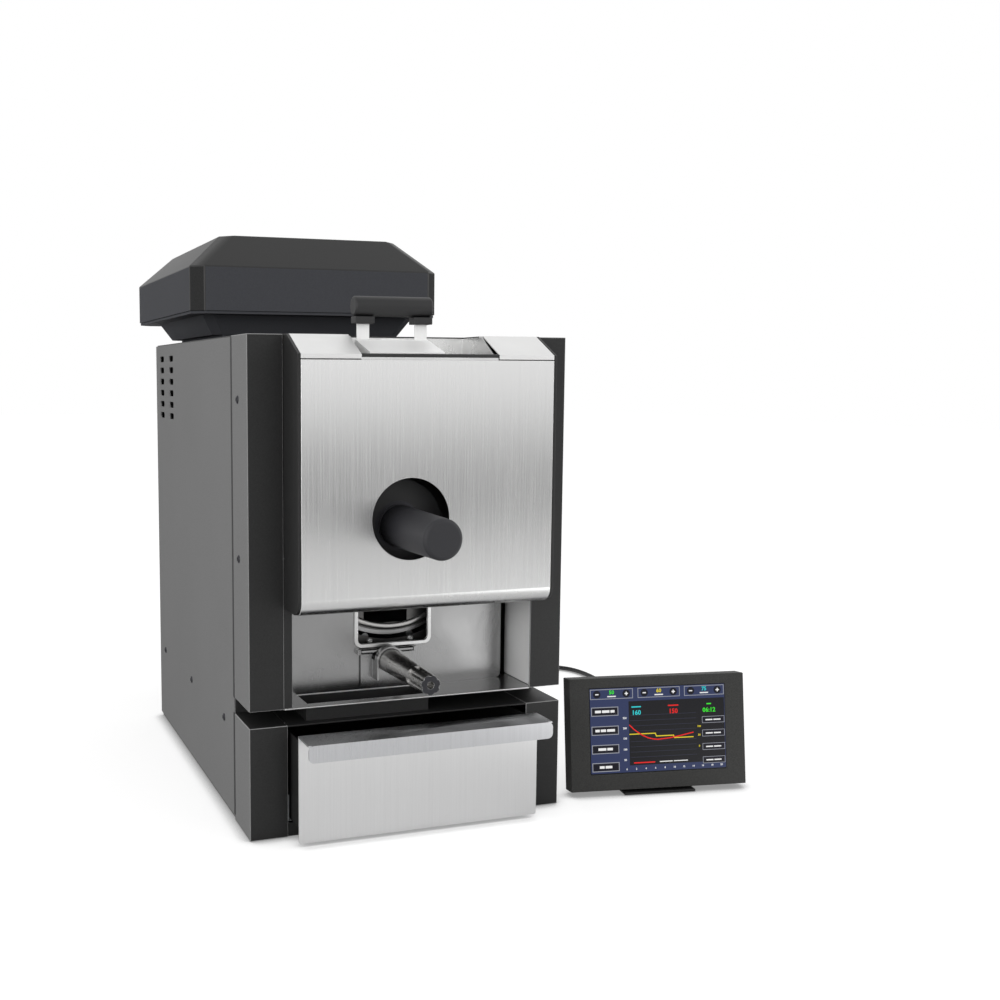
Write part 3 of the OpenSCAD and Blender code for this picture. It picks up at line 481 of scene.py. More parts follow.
class Paint(Enum):
    """The finishes of the roaster, among them lighter and darker copies that paint highlights, reflections
    and shade.
    """

    CASE_GREY = PowderCoat("case_grey_coat", colour=linear(132, 132, 132), roughness=0.9, cell=0.0007,
                           depth=0.00003, fleck=0.4, gloss=0.03)
    CASE_BLACK = PowderCoat("case_black_coat", colour=linear(26, 26, 26), roughness=0.52, cell=0.0011,
                            depth=0.00008, fleck=0.9, gloss=0.4)
    # A lighter coat for the rounded edges of the black covers: a painted highlight along the edges.
    PAINTED_EDGE_HIGHLIGHT = PowderCoat("painted_edge_highlight", colour=linear(135, 135, 135), roughness=0.4, cell=0.0006,
                           depth=0.00002, fleck=0.4)
    HOOD_GREY = PowderCoat("hood_coat", colour=linear(72, 73, 77), roughness=0.8, cell=0.0008,
                           depth=0.00003, fleck=0.2, gloss=0.12)
    # The crown of the hood cover, in a darker, glossier copy of its coat: painted shade.
    HOOD_CROWN_PAINTED_SHADE = PowderCoat("hood_crown_painted_shade", colour=linear(26, 26, 26), roughness=0.5, cell=0.0011,
                           depth=0.00006, fleck=0.5, gloss=0.52)
    # The band's corner facets and the cover's inner walls, in a darker copy of its coat: painted shade.
    HOOD_CORNER_PAINTED_SHADE = PowderCoat("hood_corner_painted_shade", colour=linear(47, 47, 47), roughness=0.8, cell=0.0011,
                             depth=0.00006, fleck=0.5, gloss=0.12)
    PANEL = BrushedSteel("panel_brushed", tone=(0.7, 0.7, 0.697, 1.0), roughness=0.25)
    DRAWER = BrushedSteel("drawer_brushed", tone=(0.8, 0.8, 0.8, 1.0), roughness=0.34, streak=0.1)
    # The drawer front's lip, in a darker bluish copy of the drawer's steel: painted shade.
    LIP_PAINTED_SHADE = BrushedSteel("lip_painted_shade", tone=(0.62, 0.625, 0.64, 1.0), roughness=0.3, streak=0.14)
    ALCOVE = BrightSteel("alcove_steel", tone=(0.34, 0.34, 0.34, 1.0), roughness=0.22, ripple=0.00006)
    # Satin steel for whole pieces, and a brighter steel on the rounded edges of others: a painted highlight
    # along the edges.
    SATIN_AND_EDGE_HIGHLIGHT = BrightSteel("satin_steel_and_edge_highlight", tone=(0.82, 0.82, 0.815, 1.0), roughness=0.42, ripple=0.0001)
    # The gate's steel, lighter and less metallic than the satin steel it is: a painted reflection.
    GATE_PAINTED_REFLECTION = BrightSteel("gate_painted_reflection", tone=(0.95, 0.95, 0.945, 1.0), roughness=0.5, ripple=0.0001,
                       metallic=0.6)
    # The alcove walls' steel, painted near white and nearly matte: a painted reflection of the bright room.
    WALL_PAINTED_REFLECTION = BrightSteel("alcove_wall_painted_reflection", tone=(0.97, 0.97, 0.965, 1.0), roughness=0.4, ripple=0.0001,
                          metallic=0.1)
    HEAD = BrightSteel("drum_head_steel", tone=(0.13, 0.128, 0.125, 1.0), roughness=0.34, ripple=0.0001)
    HOPPER = BrightSteel("hopper_steel", tone=(0.74, 0.74, 0.735, 1.0), roughness=0.26, ripple=0.0001)
    PLAIN = BrushedSteel("plain_steel", grain=Grain.DEEP, tone=(0.42, 0.42, 0.42, 1.0), roughness=0.36,
                         streak=0.2, stretch=0.0)
    LEVER = BrightSteel("lever_steel", tone=(0.5, 0.495, 0.485, 1.0), roughness=0.26, ripple=0.00005)
    # Near-black steel for the screw heads, the sampler's sleeve and the lever's tip.
    DARK_STEEL = BrightSteel("dark_steel", tone=(0.05, 0.05, 0.055, 1.0), roughness=0.4, ripple=0.0001)
    ZINC = CastMetal("zinc_sheet", tone=linear(176, 180, 182), roughness=0.42, cell=0.008, contrast=0.18)
    GRIP = Moulding("grip_moulding", colour=linear(33, 33, 37), roughness=0.6)
    BLACK = Moulding("black_moulding", colour=linear(27, 27, 28), roughness=0.5)
    SHELL = PowderCoat("display_coat", colour=linear(49, 49, 48), roughness=0.62, cell=0.0008,
                       depth=0.00006, fleck=1.2, gloss=0.25)
    RUBBER = Moulding("rubber", colour=linear(24, 24, 24), roughness=0.72, cell=0.0006, depth=0.00003)
    CABLE = Moulding("cable_jacket", colour=linear(10, 10, 11), roughness=0.62, cell=0.0008,
                     depth=0.00001)
    BOARD = Moulding("circuit_board", colour=linear(24, 82, 46), roughness=0.35)
    ALUMINIUM = CastMetal("turned_aluminium", tone=linear(205, 206, 208), roughness=0.3, cell=0.003,
                          contrast=0.08)
    IRON = CastMetal("motor_iron", tone=linear(70, 71, 74), roughness=0.55, cell=0.002, contrast=0.25)
    BRONZE = CastMetal("bearing_bronze", tone=linear(176, 142, 92), roughness=0.45, cell=0.001,
                       contrast=0.2)
    MARK = Moulding("mark_white", colour=linear(222, 222, 218), roughness=0.5)
    RED = Moulding("switch_red", colour=linear(168, 26, 24), roughness=0.3)
    BORDER = Glow("screen_border", colour=linear(8, 8, 9), light=0.1)
    GLASS = Glow("screen_ground", colour=linear(52, 62, 100), light=0.72)
    PLOT = Glow("screen_plot", colour=linear(30, 30, 37), light=0.35)
    RULE = Glow("screen_rule", colour=linear(58, 60, 80), light=0.6)
    DARK = Glow("screen_dark", colour=linear(20, 20, 36), light=0.5)
    PALE = Glow("screen_pale", colour=linear(160, 162, 172), light=0.8)
    WHITE = Glow("screen_white", colour=linear(240, 240, 240), light=0.9)
    GREEN = Glow("screen_green", colour=linear(60, 225, 50), light=0.95)
    YELLOW = Glow("screen_yellow", colour=linear(225, 205, 45), light=0.9)
    CYAN = Glow("screen_cyan", colour=linear(50, 200, 205), light=0.95)
    SCARLET = Glow("screen_scarlet", colour=linear(228, 34, 32), light=0.95)


# ---- mesh tools ----


class Form:
    """A mesh in the making."""

    def __init__(self) -> None:
        """Starts empty."""
        self.bm = bmesh.new()

    @staticmethod
    def block(x: Span, y: Span, z: Span) -> "Form":
        """A box between its limits.

        Args:
            x: Its span along x.
            y: Its span along y.
            z: Its span along z.

        Returns:
            The form.
        """
        form = Form()
        size = Matrix.Diagonal((x[1] - x[0], y[1] - y[0], z[1] - z[0], 1.0))
        middle = Matrix.Translation(((x[0] + x[1]) / 2, (y[0] + y[1]) / 2, (z[0] + z[1]) / 2))
        bmesh.ops.create_cube(form.bm, size=1.0, matrix=middle @ size)
        return form

    @staticmethod
    def turned(outline: Sequence[Span], start: Point, along: Point, steps: int) -> "Form":
        """A solid of revolution.

        Args:
            outline: The radius and the distance along the axis of each point, from one end to the other.
            start: Where the axis starts.
            along: The axis's direction.
            steps: Faces round the axis.

        Returns:
            The closed form.
        """
        form = Form()
        bm = form.bm
        points = [bm.verts.new((radius, 0.0, height)) for radius, height in outline]
        edges = [bm.edges.new(pair) for pair in zip(points, points[1:])]
        bmesh.ops.spin(bm, geom=points + edges, cent=(0, 0, 0), axis=(0, 0, 1), dvec=(0, 0, 0),
                       angle=math.tau, steps=steps, use_merge=True, use_duplicate=False)
        bmesh.ops.remove_doubles(bm, verts=bm.verts, dist=1e-6)
        turn = Vector((0, 0, 1)).rotation_difference(Vector(along)).to_matrix().to_4x4()
        bmesh.ops.transform(bm, matrix=Matrix.Translation(start) @ turn, verts=bm.verts)
        bmesh.ops.recalc_face_normals(bm, faces=bm.faces)
        return form

    @staticmethod
    def lettering(text: str, height: float, depth: float) -> "Form":
        """Figures that stand on z = 0, centred on x = 0, with their face towards -y.

        Args:
            text: The figures.
            height: Height of a figure.
            depth: Thickness.

        Returns:
            The form.
        """
        figure_share = 0.7  # of the type's size that a figure is high
        bold = 0.035  # what is added all round, as a share of the height
        curve = bpy.data.curves.new("figures", "FONT")
        curve.body, curve.size, curve.extrude = text, height / figure_share, depth / 2
        curve.align_x, curve.resolution_u, curve.offset = "CENTER", 2, bold * height
        carrier = bpy.data.objects.new("figures", curve)
        bpy.context.scene.collection.objects.link(carrier)
        bpy.context.view_layer.update()
        mesh = bpy.data.meshes.new_from_object(carrier.evaluated_get(bpy.context.evaluated_depsgraph_get()))
        form = Form()
        form.bm.from_mesh(mesh)
        upright = Matrix.Rotation(math.pi / 2, 3, "X")
        bmesh.ops.rotate(form.bm, cent=(0, 0, 0), matrix=upright, verts=form.bm.verts)
        bpy.data.objects.remove(carrier)
        bpy.data.meshes.remove(mesh)
        bpy.data.curves.remove(curve)
        return form

    @staticmethod
    def copy_of(node: str) -> "Form":
        """The merged copy of a node's mesh, with its flat faces whole.

        Args:
            node: The node's name.

        Returns:
            The form.
        """
        flat = math.radians(0.4)
        form = Form()
        form.bm.from_mesh(bpy.data.objects[node].data)
        bmesh.ops.remove_doubles(form.bm, verts=form.bm.verts, dist=2e-6)
        bmesh.ops.dissolve_limit(form.bm, angle_limit=flat, verts=form.bm.verts, edges=form.bm.edges)
        return form

    def rounded(self, width: float, segments: int = 2, sharp: float = 35.0,
                where: Callable[[bmesh.types.BMEdge], bool] | None = None) -> "Form":
        """Rounds the edges that are sharper than an angle.

        Args:
            width: How far the round reaches from the edge.
            segments: Faces across it.
            sharp: Least angle between two faces, in degrees.
            where: Which of these edges, all if left out.

        Returns:
            The same form.
        """
        found = [e for e in self.bm.edges if len(e.link_faces) == 2
                 and e.calc_face_angle(0.0) > math.radians(sharp) and (where is None or where(e))]
        if found:
            made = bmesh.ops.bevel(self.bm, geom=found, offset=width, offset_type="OFFSET", segments=segments,
                                   profile=0.5, affect="EDGES", clamp_overlap=True, material=-1)
            # The rounds take the piece's second finish; where that one is lighter, it is a painted highlight
            # along the edges.
            for face in made["faces"]:
                face.material_index = 1
        return self

    def zoned(self, index: int, inside: Callable[[Vector], bool]) -> "Form":
        """Gives the faces whose middle passes a test a finish of their own.

        Args:
            index: The finish's place in the piece's list.
            inside: The test.

        Returns:
            The same form.
        """
        for face in self.bm.faces:
            if face.material_index != 1 and inside(face.calc_center_median()):
                face.material_index = index
        return self

    def moved(self, matrix: Matrix) -> "Form":
        """Places the form."""
        bmesh.ops.transform(self.bm, matrix=matrix, verts=self.bm.verts)
        return self

    def joined(self, *others: "Form") -> "Form":
        """Takes other forms in, and frees them.

        Args:
            others: The forms.

        Returns:
            The same form.
        """
        for other in others:
            mesh = bpy.data.meshes.new("part")
            other.bm.to_mesh(mesh)
            other.bm.free()
            self.bm.from_mesh(mesh)
            bpy.data.meshes.remove(mesh)
        return self


class Assembly:
    """A group of pieces, with what each of them needs to be shown."""

    def dress(self, finish: Paint, *nodes: str) -> None:
        """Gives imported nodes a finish.

        Args:
            finish: The finish.
            nodes: Their names.
        """
        for name in nodes:
            node = bpy.data.objects[name]
            if not node.material_slots:
                node.data.materials.append(None)
            for slot in node.material_slots:
                slot.material = finish.value.material()
            LOG.info("dressed %s in %s", name, finish.name.lower())

    def show(self, name: str, form: Form, finish: Paint | Sequence[Paint], body: str, slot: str,
             stands_for: Iterable[str] = (), smooth: float = 50.0) -> bpy.types.Object:
        """Ends a piece and hangs it on its body.

        Args:
            name: The piece's name.
            form: Its mesh.
            finish: Its finish, or its finish, the one of its rounded edges and those of its zones.
            body: The body that it moves with.
            slot: The record's material slot; not used.
            stands_for: Nodes that it replaces.
            smooth: Edges up to this angle are shaded smooth.

        Returns:
            The piece.
        """
        finishes = [finish] if isinstance(finish, Paint) else list(finish)
        for face in form.bm.faces:
            if face.material_index >= len(finishes):
                face.material_index = 0
        mesh = bpy.data.meshes.new(name)
        form.bm.to_mesh(mesh)
        form.bm.free()
        for each in finishes:
            mesh.materials.append(each.value.material())
        mesh.shade_smooth()
        mesh.set_sharp_from_angle(angle=math.radians(smooth))
        piece = bpy.data.objects.new(name, mesh)
        bpy.context.scene.collection.objects.link(piece)
        even = piece.modifiers.new("even_shading", "WEIGHTED_NORMAL")
        even.keep_sharp = True
        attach(piece, body)
        if stands_for:
            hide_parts(*stands_for)
        LOG.info("made %s, %d faces, on %s", name, len(mesh.polygons), body)
        return piece

    def refine(self, node: str, finish: Paint | Sequence[Paint], body: str, slot: str, width: float,
               segments: int = 2) -> bpy.types.Object:
        """Shows a copy of a node with its edges rounded in place of the node.

        Args:
            node: The node.
            finish: Its finish, or its finish and the one of its rounded edges.
            body: The body that it moves with.
            slot: The record's material slot.
            width: How far the rounds reach from the edges.
            segments: Faces across a round.

        Returns:
            The piece.
        """
        form = Form.copy_of(node).rounded(width, segments)
        return self.show(f"{node}_finished", form, finish, body, slot, [node])


# ---- camera, light and the cable, which come first ----


@dataclass
class Studio:
    """The camera at the photograph's angle, a pale floor and soft light.

    A spread is written as the range that it reads and what its two ends become.
    """

    eye: Triple = (-0.33163, -1.00263, 0.33286)
    aim: Triple = (90 - 5.96, -0.07, -19.12)
    lens: float = 43.855
    sensor: float = 36.0
    shift: Span = (0.1463, 0.0046)
    clip: Span = (0.05, 40.0)
    floor_half: float = 6.0
    floor_back: float = 4.1
    floor_drop: float = 0.0005
    shadow_reach: float = 0.014
    shadow_spread: Spread = (0.45, 0.9, 0.4, 1.0)
    seen_tone: float = 0.6
    seen_glow: float = 0.62
    mirrored_tone: float = 0.8
    mirrored_glow: float = 0.06
    bounce_tone: float = 0.16
    card_x: Span = (0.24, 0.285)
    card_y: Span = (-0.9, -0.82)
    card_glow: float = 1.3
    rear_half: Span = (-0.2, 0.3)
    front_spread: Spread = (-0.07, -0.02, 0.3, 1.1)
    ceiling_spread: Spread = (0.3, 1.0, 1.0, 0.35)
    lamps: tuple = (
        ("left_box", (-1.9, -0.9, 1.1), (0.0, 0.0, 0.15), (1.6, 1.8), 7.0),
        ("low_left_box", (-1.5, -1.5, 0.5), (0.0, -0.1, 0.14), (0.9, 0.8), 8.0),
        ("right_box", (1.9, -0.9, 1.3), (0.0, 0.0, 0.25), (1.2, 1.6), 9.0),
        ("top_box", (0.1, -0.2, 2.0), (0.0, 0.0, 0.3), (1.6, 1.6), 2.0))

    def camera(self) -> None:
        """Sets the camera up."""
        data = bpy.data.cameras.new("camera")
        data.sensor_width, data.lens = self.sensor, self.lens
        data.shift_x, data.shift_y = self.shift
        data.clip_start, data.clip_end = self.clip
        camera = bpy.data.objects.new("camera", data)
        camera.location = self.eye
        camera.rotation_euler = [math.radians(a) for a in self.aim]
        bpy.context.scene.collection.objects.link(camera)
        bpy.context.scene.camera = camera

    def floor_finish(self) -> bpy.types.Material:
        """White where the camera, or bright metal, sees it, darker where the object touches it.

        Returns:
            The floor's material.
        """
        s = Shader("floor_white")
        rays = s.add("ShaderNodeLightPath").outputs
        seen = Number(s, rays["Is Camera Ray"])
        mirrored = Number(s, rays["Is Glossy Ray"])
        white = (seen + mirrored + Number(s, rays["Is Transmission Ray"])).spread(0.0, 1.0)
        axes = s.add("ShaderNodeSeparateXYZ", {}, {0: s.place()}).outputs
        card = Number(s, axes[0]).spread(*self.card_x) * Number(s, axes[1]).spread(*self.card_y)
        glow = seen * self.seen_glow + (white - seen) * (self.mirrored_glow + self.card_glow * card)
        near = s.add("ShaderNodeAmbientOcclusion", {"samples": 8}, {"Distance": self.shadow_reach})
        clear = Number(s, near.outputs["AO"]).spread(*self.shadow_spread)
        lit = s.mix(seen, grey(self.mirrored_tone), grey(self.seen_tone))
        colour = s.mix(white, grey(self.bounce_tone), s.mix(clear, grey(0.0), lit))
        matte = s.add("ShaderNodeBsdfDiffuse", {}, {"Color": colour})
        light = s.add("ShaderNodeEmission", {}, {"Color": grey(1.0), "Strength": glow * clear})
        return s.finish_with(s.add("ShaderNodeAddShader", {}, {0: matte.outputs[0], 1: light.outputs[0]}))

    def floor(self) -> None:
        """Lays the floor."""
        form = Form()
        back = Matrix.Translation((0, self.floor_back, 0))
        bmesh.ops.create_grid(form.bm, x_segments=1, y_segments=1, size=self.floor_half, matrix=back)
        mesh = bpy.data.meshes.new("floor")
        form.bm.to_mesh(mesh)
        form.bm.free()
        mesh.materials.append(self.floor_finish())
        floor = bpy.data.objects.new("floor", mesh)
        floor.location = (0.0, 0.0, -self.floor_drop)
        bpy.context.scene.collection.objects.link(floor)

    def world(self) -> None:
        """A white room whose front, behind the camera, is dimmer."""
        world = bpy.data.worlds.new("room")
        bpy.context.scene.world = world
        world.use_nodes = True
        s = Nodes(world.node_tree)
        where = s.add("ShaderNodeTexCoord").outputs["Generated"]
        axes = s.add("ShaderNodeSeparateXYZ", {}, {0: where}).outputs
        height = Number(s, axes[2])
        behind = Number(s, axes[1]).spread(*self.rear_half)
        rays = s.add("ShaderNodeLightPath").outputs
        bounced = Number(s, rays["Is Glossy Ray"]) + Number(s, rays["Is Transmission Ray"])
        white = (Number(s, rays["Is Camera Ray"]) + bounced * behind).spread(0.0, 1.0)
        room = behind + (1.0 - behind) * height.spread(*self.front_spread)
        strength = white + (1.0 - white) * (room * height.spread(*self.ceiling_spread))
        ground = s.add("ShaderNodeBackground", {}, {"Color": grey(1.0), "Strength": strength})
        s.add("ShaderNodeOutputWorld", {"is_active_output": True}, {0: ground.outputs[0]})

    def lamp(self, name: str, place: Point, target: Point, size: Span, power: float) -> None:
        """Hangs a soft box.

        Args:
            name: Its name.
            place: Where it hangs.
            target: What it points at.
            size: Its width and height.
            power: Its power in watts.
        """
        data = bpy.data.lights.new(name, "AREA")
        data.shape, data.size, data.size_y, data.energy = "RECTANGLE", size[0], size[1], power
        lamp = bpy.data.objects.new(name, data)
        lamp.location = place
        lamp.rotation_euler = (Vector(target) - Vector(place)).to_track_quat("-Z", "Y").to_euler()
        bpy.context.scene.collection.objects.link(lamp)

    def build(self) -> None:
        """Makes the whole stage."""
        self.camera()
        self.floor()
        self.world()
        for name, place, target, size, power in self.lamps:
            self.lamp(name, place, target, size, power)
        bpy.context.scene.view_settings.view_transform = "Standard"


@dataclass
class DisplayCable(Assembly):
    """The lead from the rear panel to the display, lying on the floor."""

    radius: float = 0.0023
    steps: int = 6
    route: tuple = (  # in millimetres, as in the part's source
        (95, 203.5, 40), (95, 214, 39.6), (95.5, 224, 37), (98, 235, 31.5), (102.5, 246, 22),
        (109.5, 255.5, 12), (119, 262.5, 5.2), (131, 266.5, 2.8), (147, 268, 2.4), (167, 268, 2.4),
        (190, 266, 2.4), (214, 262.5, 2.4), (238, 258, 2.4), (262, 252, 2.4), (285, 244.5, 2.4),
        (306, 235.5, 2.4), (324, 225.5, 2.4), (339, 214.5, 2.4), (348.5, 201, 2.4), (352.5, 184, 2.4),
        (353, 166, 2.4), (351.5, 145, 2.4), (348, 122, 2.4), (342.5, 98, 2.4), (335.5, 73, 2.4),
        (327, 47, 2.4), (317.5, 20, 2.4), (307.5, -7, 2.4), (298, -33, 2.4), (289, -59, 2.7),
        (281.5, -83, 4.2), (275.5, -105, 8), (271, -123, 13), (267.7, -138, 17.1), (264.6, -153, 19.3))

    def line(self) -> list[Vector]:
        """The smooth line through the route's points, in metres.

        Returns:
            Its points, with the route's own points among them.
        """
        at = [Vector(p) * MM for p in self.route]
        points = []
        for i in range(len(at) - 1):
            a, b, c, d = at[max(i - 1, 0)], at[i], at[i + 1], at[min(i + 2, len(at) - 1)]
            for k in range(self.steps):
                t = k / self.steps
                points.append(0.5 * (2 * b + t * (c - a) + t * t * (2 * a - 5 * b + 4 * c - d)
                                     + t * t * t * (3 * b - a - 3 * c + d)))
        return points + [at[-1]]

    def build(self) -> None:
        line = self.line()
        curve = bpy.data.curves.new("display_lead", "CURVE")
        curve.dimensions, curve.bevel_depth, curve.bevel_resolution = "3D", self.radius, 4
        curve.use_fill_caps = True
        spline = curve.splines.new("POLY")
        spline.points.add(len(line) - 1)
        for point, place in zip(spline.points, line):
            point.co = (*place, 1.0)
        spline.use_smooth = True
        curve.materials.append(Paint.CABLE.value.material())
        lead = bpy.data.objects.new("display_lead", curve)
        bpy.context.scene.collection.objects.link(lead)
        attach(lead, "case")
        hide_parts("display_cable")
        length = sum((b - a).length for a, b in zip(line, line[1:]))
        self.dress(Paint.RUBBER, "cable_plug", "cable_gland")
        LOG.info("made display_lead, %.3f m", length)


# ---- the roaster's sub-assemblies ----


@dataclass
class CaseShell(Assembly):
    """Side panels, corner columns, top, base and screws."""

    half_wide: float = 0.124
    outer_face: float = 0.1238
    screw_r: float = 0.003
    screw_high: float = 0.0012
    screw_steps: int = 20
    pan_head: tuple = ((0.0, 0.35), (0.42, 0.35), (0.5, 0.98), (0.8, 0.8), (1.0, 0.3),
                       (1.0, 0.0), (0.0, 0.0))  # radius and height, as shares of the head's
    side_screws: tuple = ((0.027, 0.317), (0.027, 0.202), (0.079, 0.071), (0.203, 0.071),
                          (0.326, 0.071))  # behind the case's front face, and up
    rear_screws: tuple = (  # across, behind the case's front face, and up
        (-0.112, 0.355, 0.02), (0.112, 0.355, 0.02), (-0.112, 0.355, 0.17), (0.112, 0.355, 0.17),
        (-0.113, 0.355, 0.348), (0.113, 0.355, 0.348), (-0.094, 0.455, 0.203), (0.094, 0.455, 0.203),
        (-0.094, 0.455, 0.352), (0.094, 0.455, 0.352), (-0.034, 0.455, 0.256), (0.034, 0.455, 0.256),
        (-0.034, 0.455, 0.324), (0.034, 0.455, 0.324), (-0.096, 0.3562, 0.051), (-0.026, 0.3562, 0.051))
    drum_screws_x: Span = (-0.015, 0.019)
    drum_screws_y: float = FRONT + 0.05
    drum_screws_z: float = 0.1295
    drum_screw_head: tuple = ((0.0, 0.6), (0.9, 0.6), (1.2, 1.5), (2.0, 1.2), (2.4, 0.3),
                              (2.4, 0.0), (0.0, 0.0))  # radius and height in millimetres
    # A thin black strip stands on each joint: a painted shadow for the gap between panel and column.
    seam_y: float = FRONT + 0.046
    shadow_strip_wide: float = 0.0036
    shadow_strip_proud: float = 0.0002
    seam_spans: tuple = ((0.0045, 0.083), (0.095, 0.3625))

    def screws(self) -> None:
        """Pan heads with a hollow for the driver: on the case and on the drum's head."""
        pan = [(r * self.screw_r, z * self.screw_high) for r, z in self.pan_head]
        heads = Form()
        for side in (-1, 1):
            for y, z in self.side_screws:
                start = (side * self.half_wide, FRONT + y, z)
                heads.joined(Form.turned(pan, start, (side, 0, 0), self.screw_steps))
        for x, y, z in self.rear_screws:
            heads.joined(Form.turned(pan, (x, FRONT + y, z), (0, 1, 0), self.screw_steps))
        high_head = [(r * MM, z * MM) for r, z in self.drum_screw_head]
        inner = Form()
        for x in self.drum_screws_x:
            start = (x, self.drum_screws_y, self.drum_screws_z)
            inner.joined(Form.turned(high_head, start, (0, -1, 0), self.screw_steps))
        self.show("case_screw_heads", heads, Paint.DARK_STEEL, "case", "steel", ["case_screws"])
        self.show("drum_head_screw_heads", inner, Paint.SATIN_AND_EDGE_HIGHLIGHT, "case", "steel")

    def seam_shadows(self) -> None:
        """Thin black strips over the joints between the side panels and the corner columns: a painted shadow
        for the gap there.
        """
        depth = (self.seam_y - self.shadow_strip_wide / 2, self.seam_y + self.shadow_strip_wide / 2)
        shadow_strips = Form()
        for side in (-1, 1):
            x = side * self.half_wide
            for span in self.seam_spans:
                shadow_strips.joined(Form.block((x - self.shadow_strip_proud, x + self.shadow_strip_proud), depth, span))
        self.show("side_seam_painted_shadows", shadow_strips, Paint.CABLE, "case", "rubber")

    def build(self) -> None:
        """Makes and dresses the case."""
        self.seam_shadows()
        for node in ("left_side_panel", "right_side_panel"):
            self.refine(node, Paint.CASE_GREY, "case", "case_grey", THIN_EDGE)
        for node in ("upper_left_column", "upper_right_column", "lower_columns"):
            # The rounded edges take the lighter coat: a painted highlight.
            cover = Form.copy_of(node).rounded(THICK_EDGE).zoned(2, lambda at: abs(at.x) > self.outer_face)
            self.show(f"{node}_finished", cover, (Paint.CASE_BLACK, Paint.PAINTED_EDGE_HIGHLIGHT, Paint.CASE_GREY), "case",
                      "case_black", [node])
        for node in ("top_plate", "rear_panel", "base_deck", "base_pan"):
            self.refine(node, Paint.CASE_BLACK, "case", "case_black", THIN_EDGE)
        self.dress(Paint.RUBBER, "rubber_feet")
        self.screws()


@dataclass
class FrontAndHopper(Assembly):
    """The brushed front panel, its sides, the hopper and its gate."""

    bracket_edge: float = 0.0006
    grip_edge: float = 0.0016

    def build(self) -> None:
        """Makes and dresses the front."""
        # The panel's rounded edges take the satin steel: a painted highlight.
        self.refine("front_panel", (Paint.PANEL, Paint.SATIN_AND_EDGE_HIGHLIGHT), "case", "brushed", SHEET_EDGE)
        self.refine("front_cheeks", Paint.CASE_BLACK, "case", "case_black", THIN_EDGE)
        self.refine("shoulder_plates", Paint.SATIN_AND_EDGE_HIGHLIGHT, "case", "polished", THIN_EDGE)
        self.refine("hopper", Paint.HOPPER, "case", "polished", THIN_EDGE)
        self.dress(Paint.BLACK, "hopper_lip")
        # The gate plate is painted lighter: a painted reflection.
        self.refine("gate_plate", Paint.GATE_PAINTED_REFLECTION, "gate", "polished", THIN_EDGE)
        self.refine("gate_brackets", Paint.BLACK, "gate", "black_plastic", self.bracket_edge, segments=3)
        self.refine("gate_grip", Paint.BLACK, "gate", "black_plastic", self.grip_edge, segments=4)


@dataclass
class Alcove(Assembly):
    """The bright alcove with its sight window, door and lever."""

    drum_axis: Triple = (0.003, FRONT + 0.05, 0.206)
    bead_r: float = 0.066
    bead_wide: float = 0.0052
    bead_proud: float = 0.0012
    bead_shoulder: Span = (0.35, 0.8)  # as shares of the bead's width and height
    bead_sweep: float = 110.0
    bead_steps: int = 40
    tip_depth: float = 0.0006
    jamb_wide: float = 0.0062
    jamb_lap: float = 0.001
    jamb_y: Span = (FRONT + 0.0003, FRONT + 0.0012)

    def jamb(self) -> None:
        """The black folded edge that closes the alcove's left side."""
        low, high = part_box("alcove_walls")
        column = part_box("upper_left_column")[1].x
        edge = Form.block((column - self.jamb_lap, column + self.jamb_wide), self.jamb_y, (low.z, high.z))
        # Its rounded edges take the lighter coat: a painted highlight.
        self.show("alcove_jamb", edge.rounded(THIN_EDGE), (Paint.CASE_BLACK, Paint.PAINTED_EDGE_HIGHLIGHT), "case",
                  "case_black")

    def bead(self) -> None:
        """The bright bead on the lower part of the drum's head, seen through the window."""
        form = Form()
        half, high = self.bead_wide / 2, self.bead_proud
        out, up = self.bead_shoulder[0] * self.bead_wide, self.bead_shoulder[1] * high
        section = ((-half, 0.0), (-out, -up), (0.0, -high), (out, -up), (half, 0.0))
        outline = form.bm.faces.new([form.bm.verts.new((self.bead_r + r, y, 0.0)) for r, y in section])
        bmesh.ops.spin(form.bm, geom=[outline], cent=(0, 0, 0), axis=(0, 1, 0), dvec=(0, 0, 0),
                       angle=math.radians(self.bead_sweep), steps=self.bead_steps, use_merge=False,
                       use_duplicate=False)
        bmesh.ops.recalc_face_normals(form.bm, faces=form.bm.faces)
        start = Matrix.Rotation(math.radians(90 - self.bead_sweep / 2), 4, "Y")
        form.moved(Matrix.Translation(self.drum_axis) @ start)
        self.show("drum_head_bead", form, Paint.LEVER, "case", "steel")

    def lever(self) -> None:
        """The discharge lever, its tip's end dark."""
        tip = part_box("discharge_lever")[0].y + self.tip_depth
        # The rounded edges take the satin steel: a painted highlight.
        form = Form.copy_of("discharge_lever").rounded(SHEET_EDGE).zoned(2, lambda at: at.y < tip)
        self.show("discharge_lever_finished", form, (Paint.LEVER, Paint.SATIN_AND_EDGE_HIGHLIGHT, Paint.DARK_STEEL), "door", "steel",
                  ["discharge_lever"])

    def build(self) -> None:
        """Makes and dresses the alcove."""
        # The rounded edges of the alcove take the satin steel: a painted highlight.
        self.refine("alcove_back", (Paint.ALCOVE, Paint.SATIN_AND_EDGE_HIGHLIGHT), "case", "polished", THICK_EDGE)
        self.refine("alcove_floor", (Paint.ALCOVE, Paint.SATIN_AND_EDGE_HIGHLIGHT), "case", "polished", THICK_EDGE)
        # The walls are painted near white: a painted reflection.
        self.refine("alcove_walls", (Paint.WALL_PAINTED_REFLECTION, Paint.SATIN_AND_EDGE_HIGHLIGHT), "case", "polished", THICK_EDGE)
        self.refine("window_rim", Paint.HOPPER, "case", "polished", THICK_EDGE, segments=3)
        self.refine("discharge_door", Paint.ALCOVE, "door", "polished", THIN_EDGE)
        self.lever()
        self.bead()
        self.jamb()


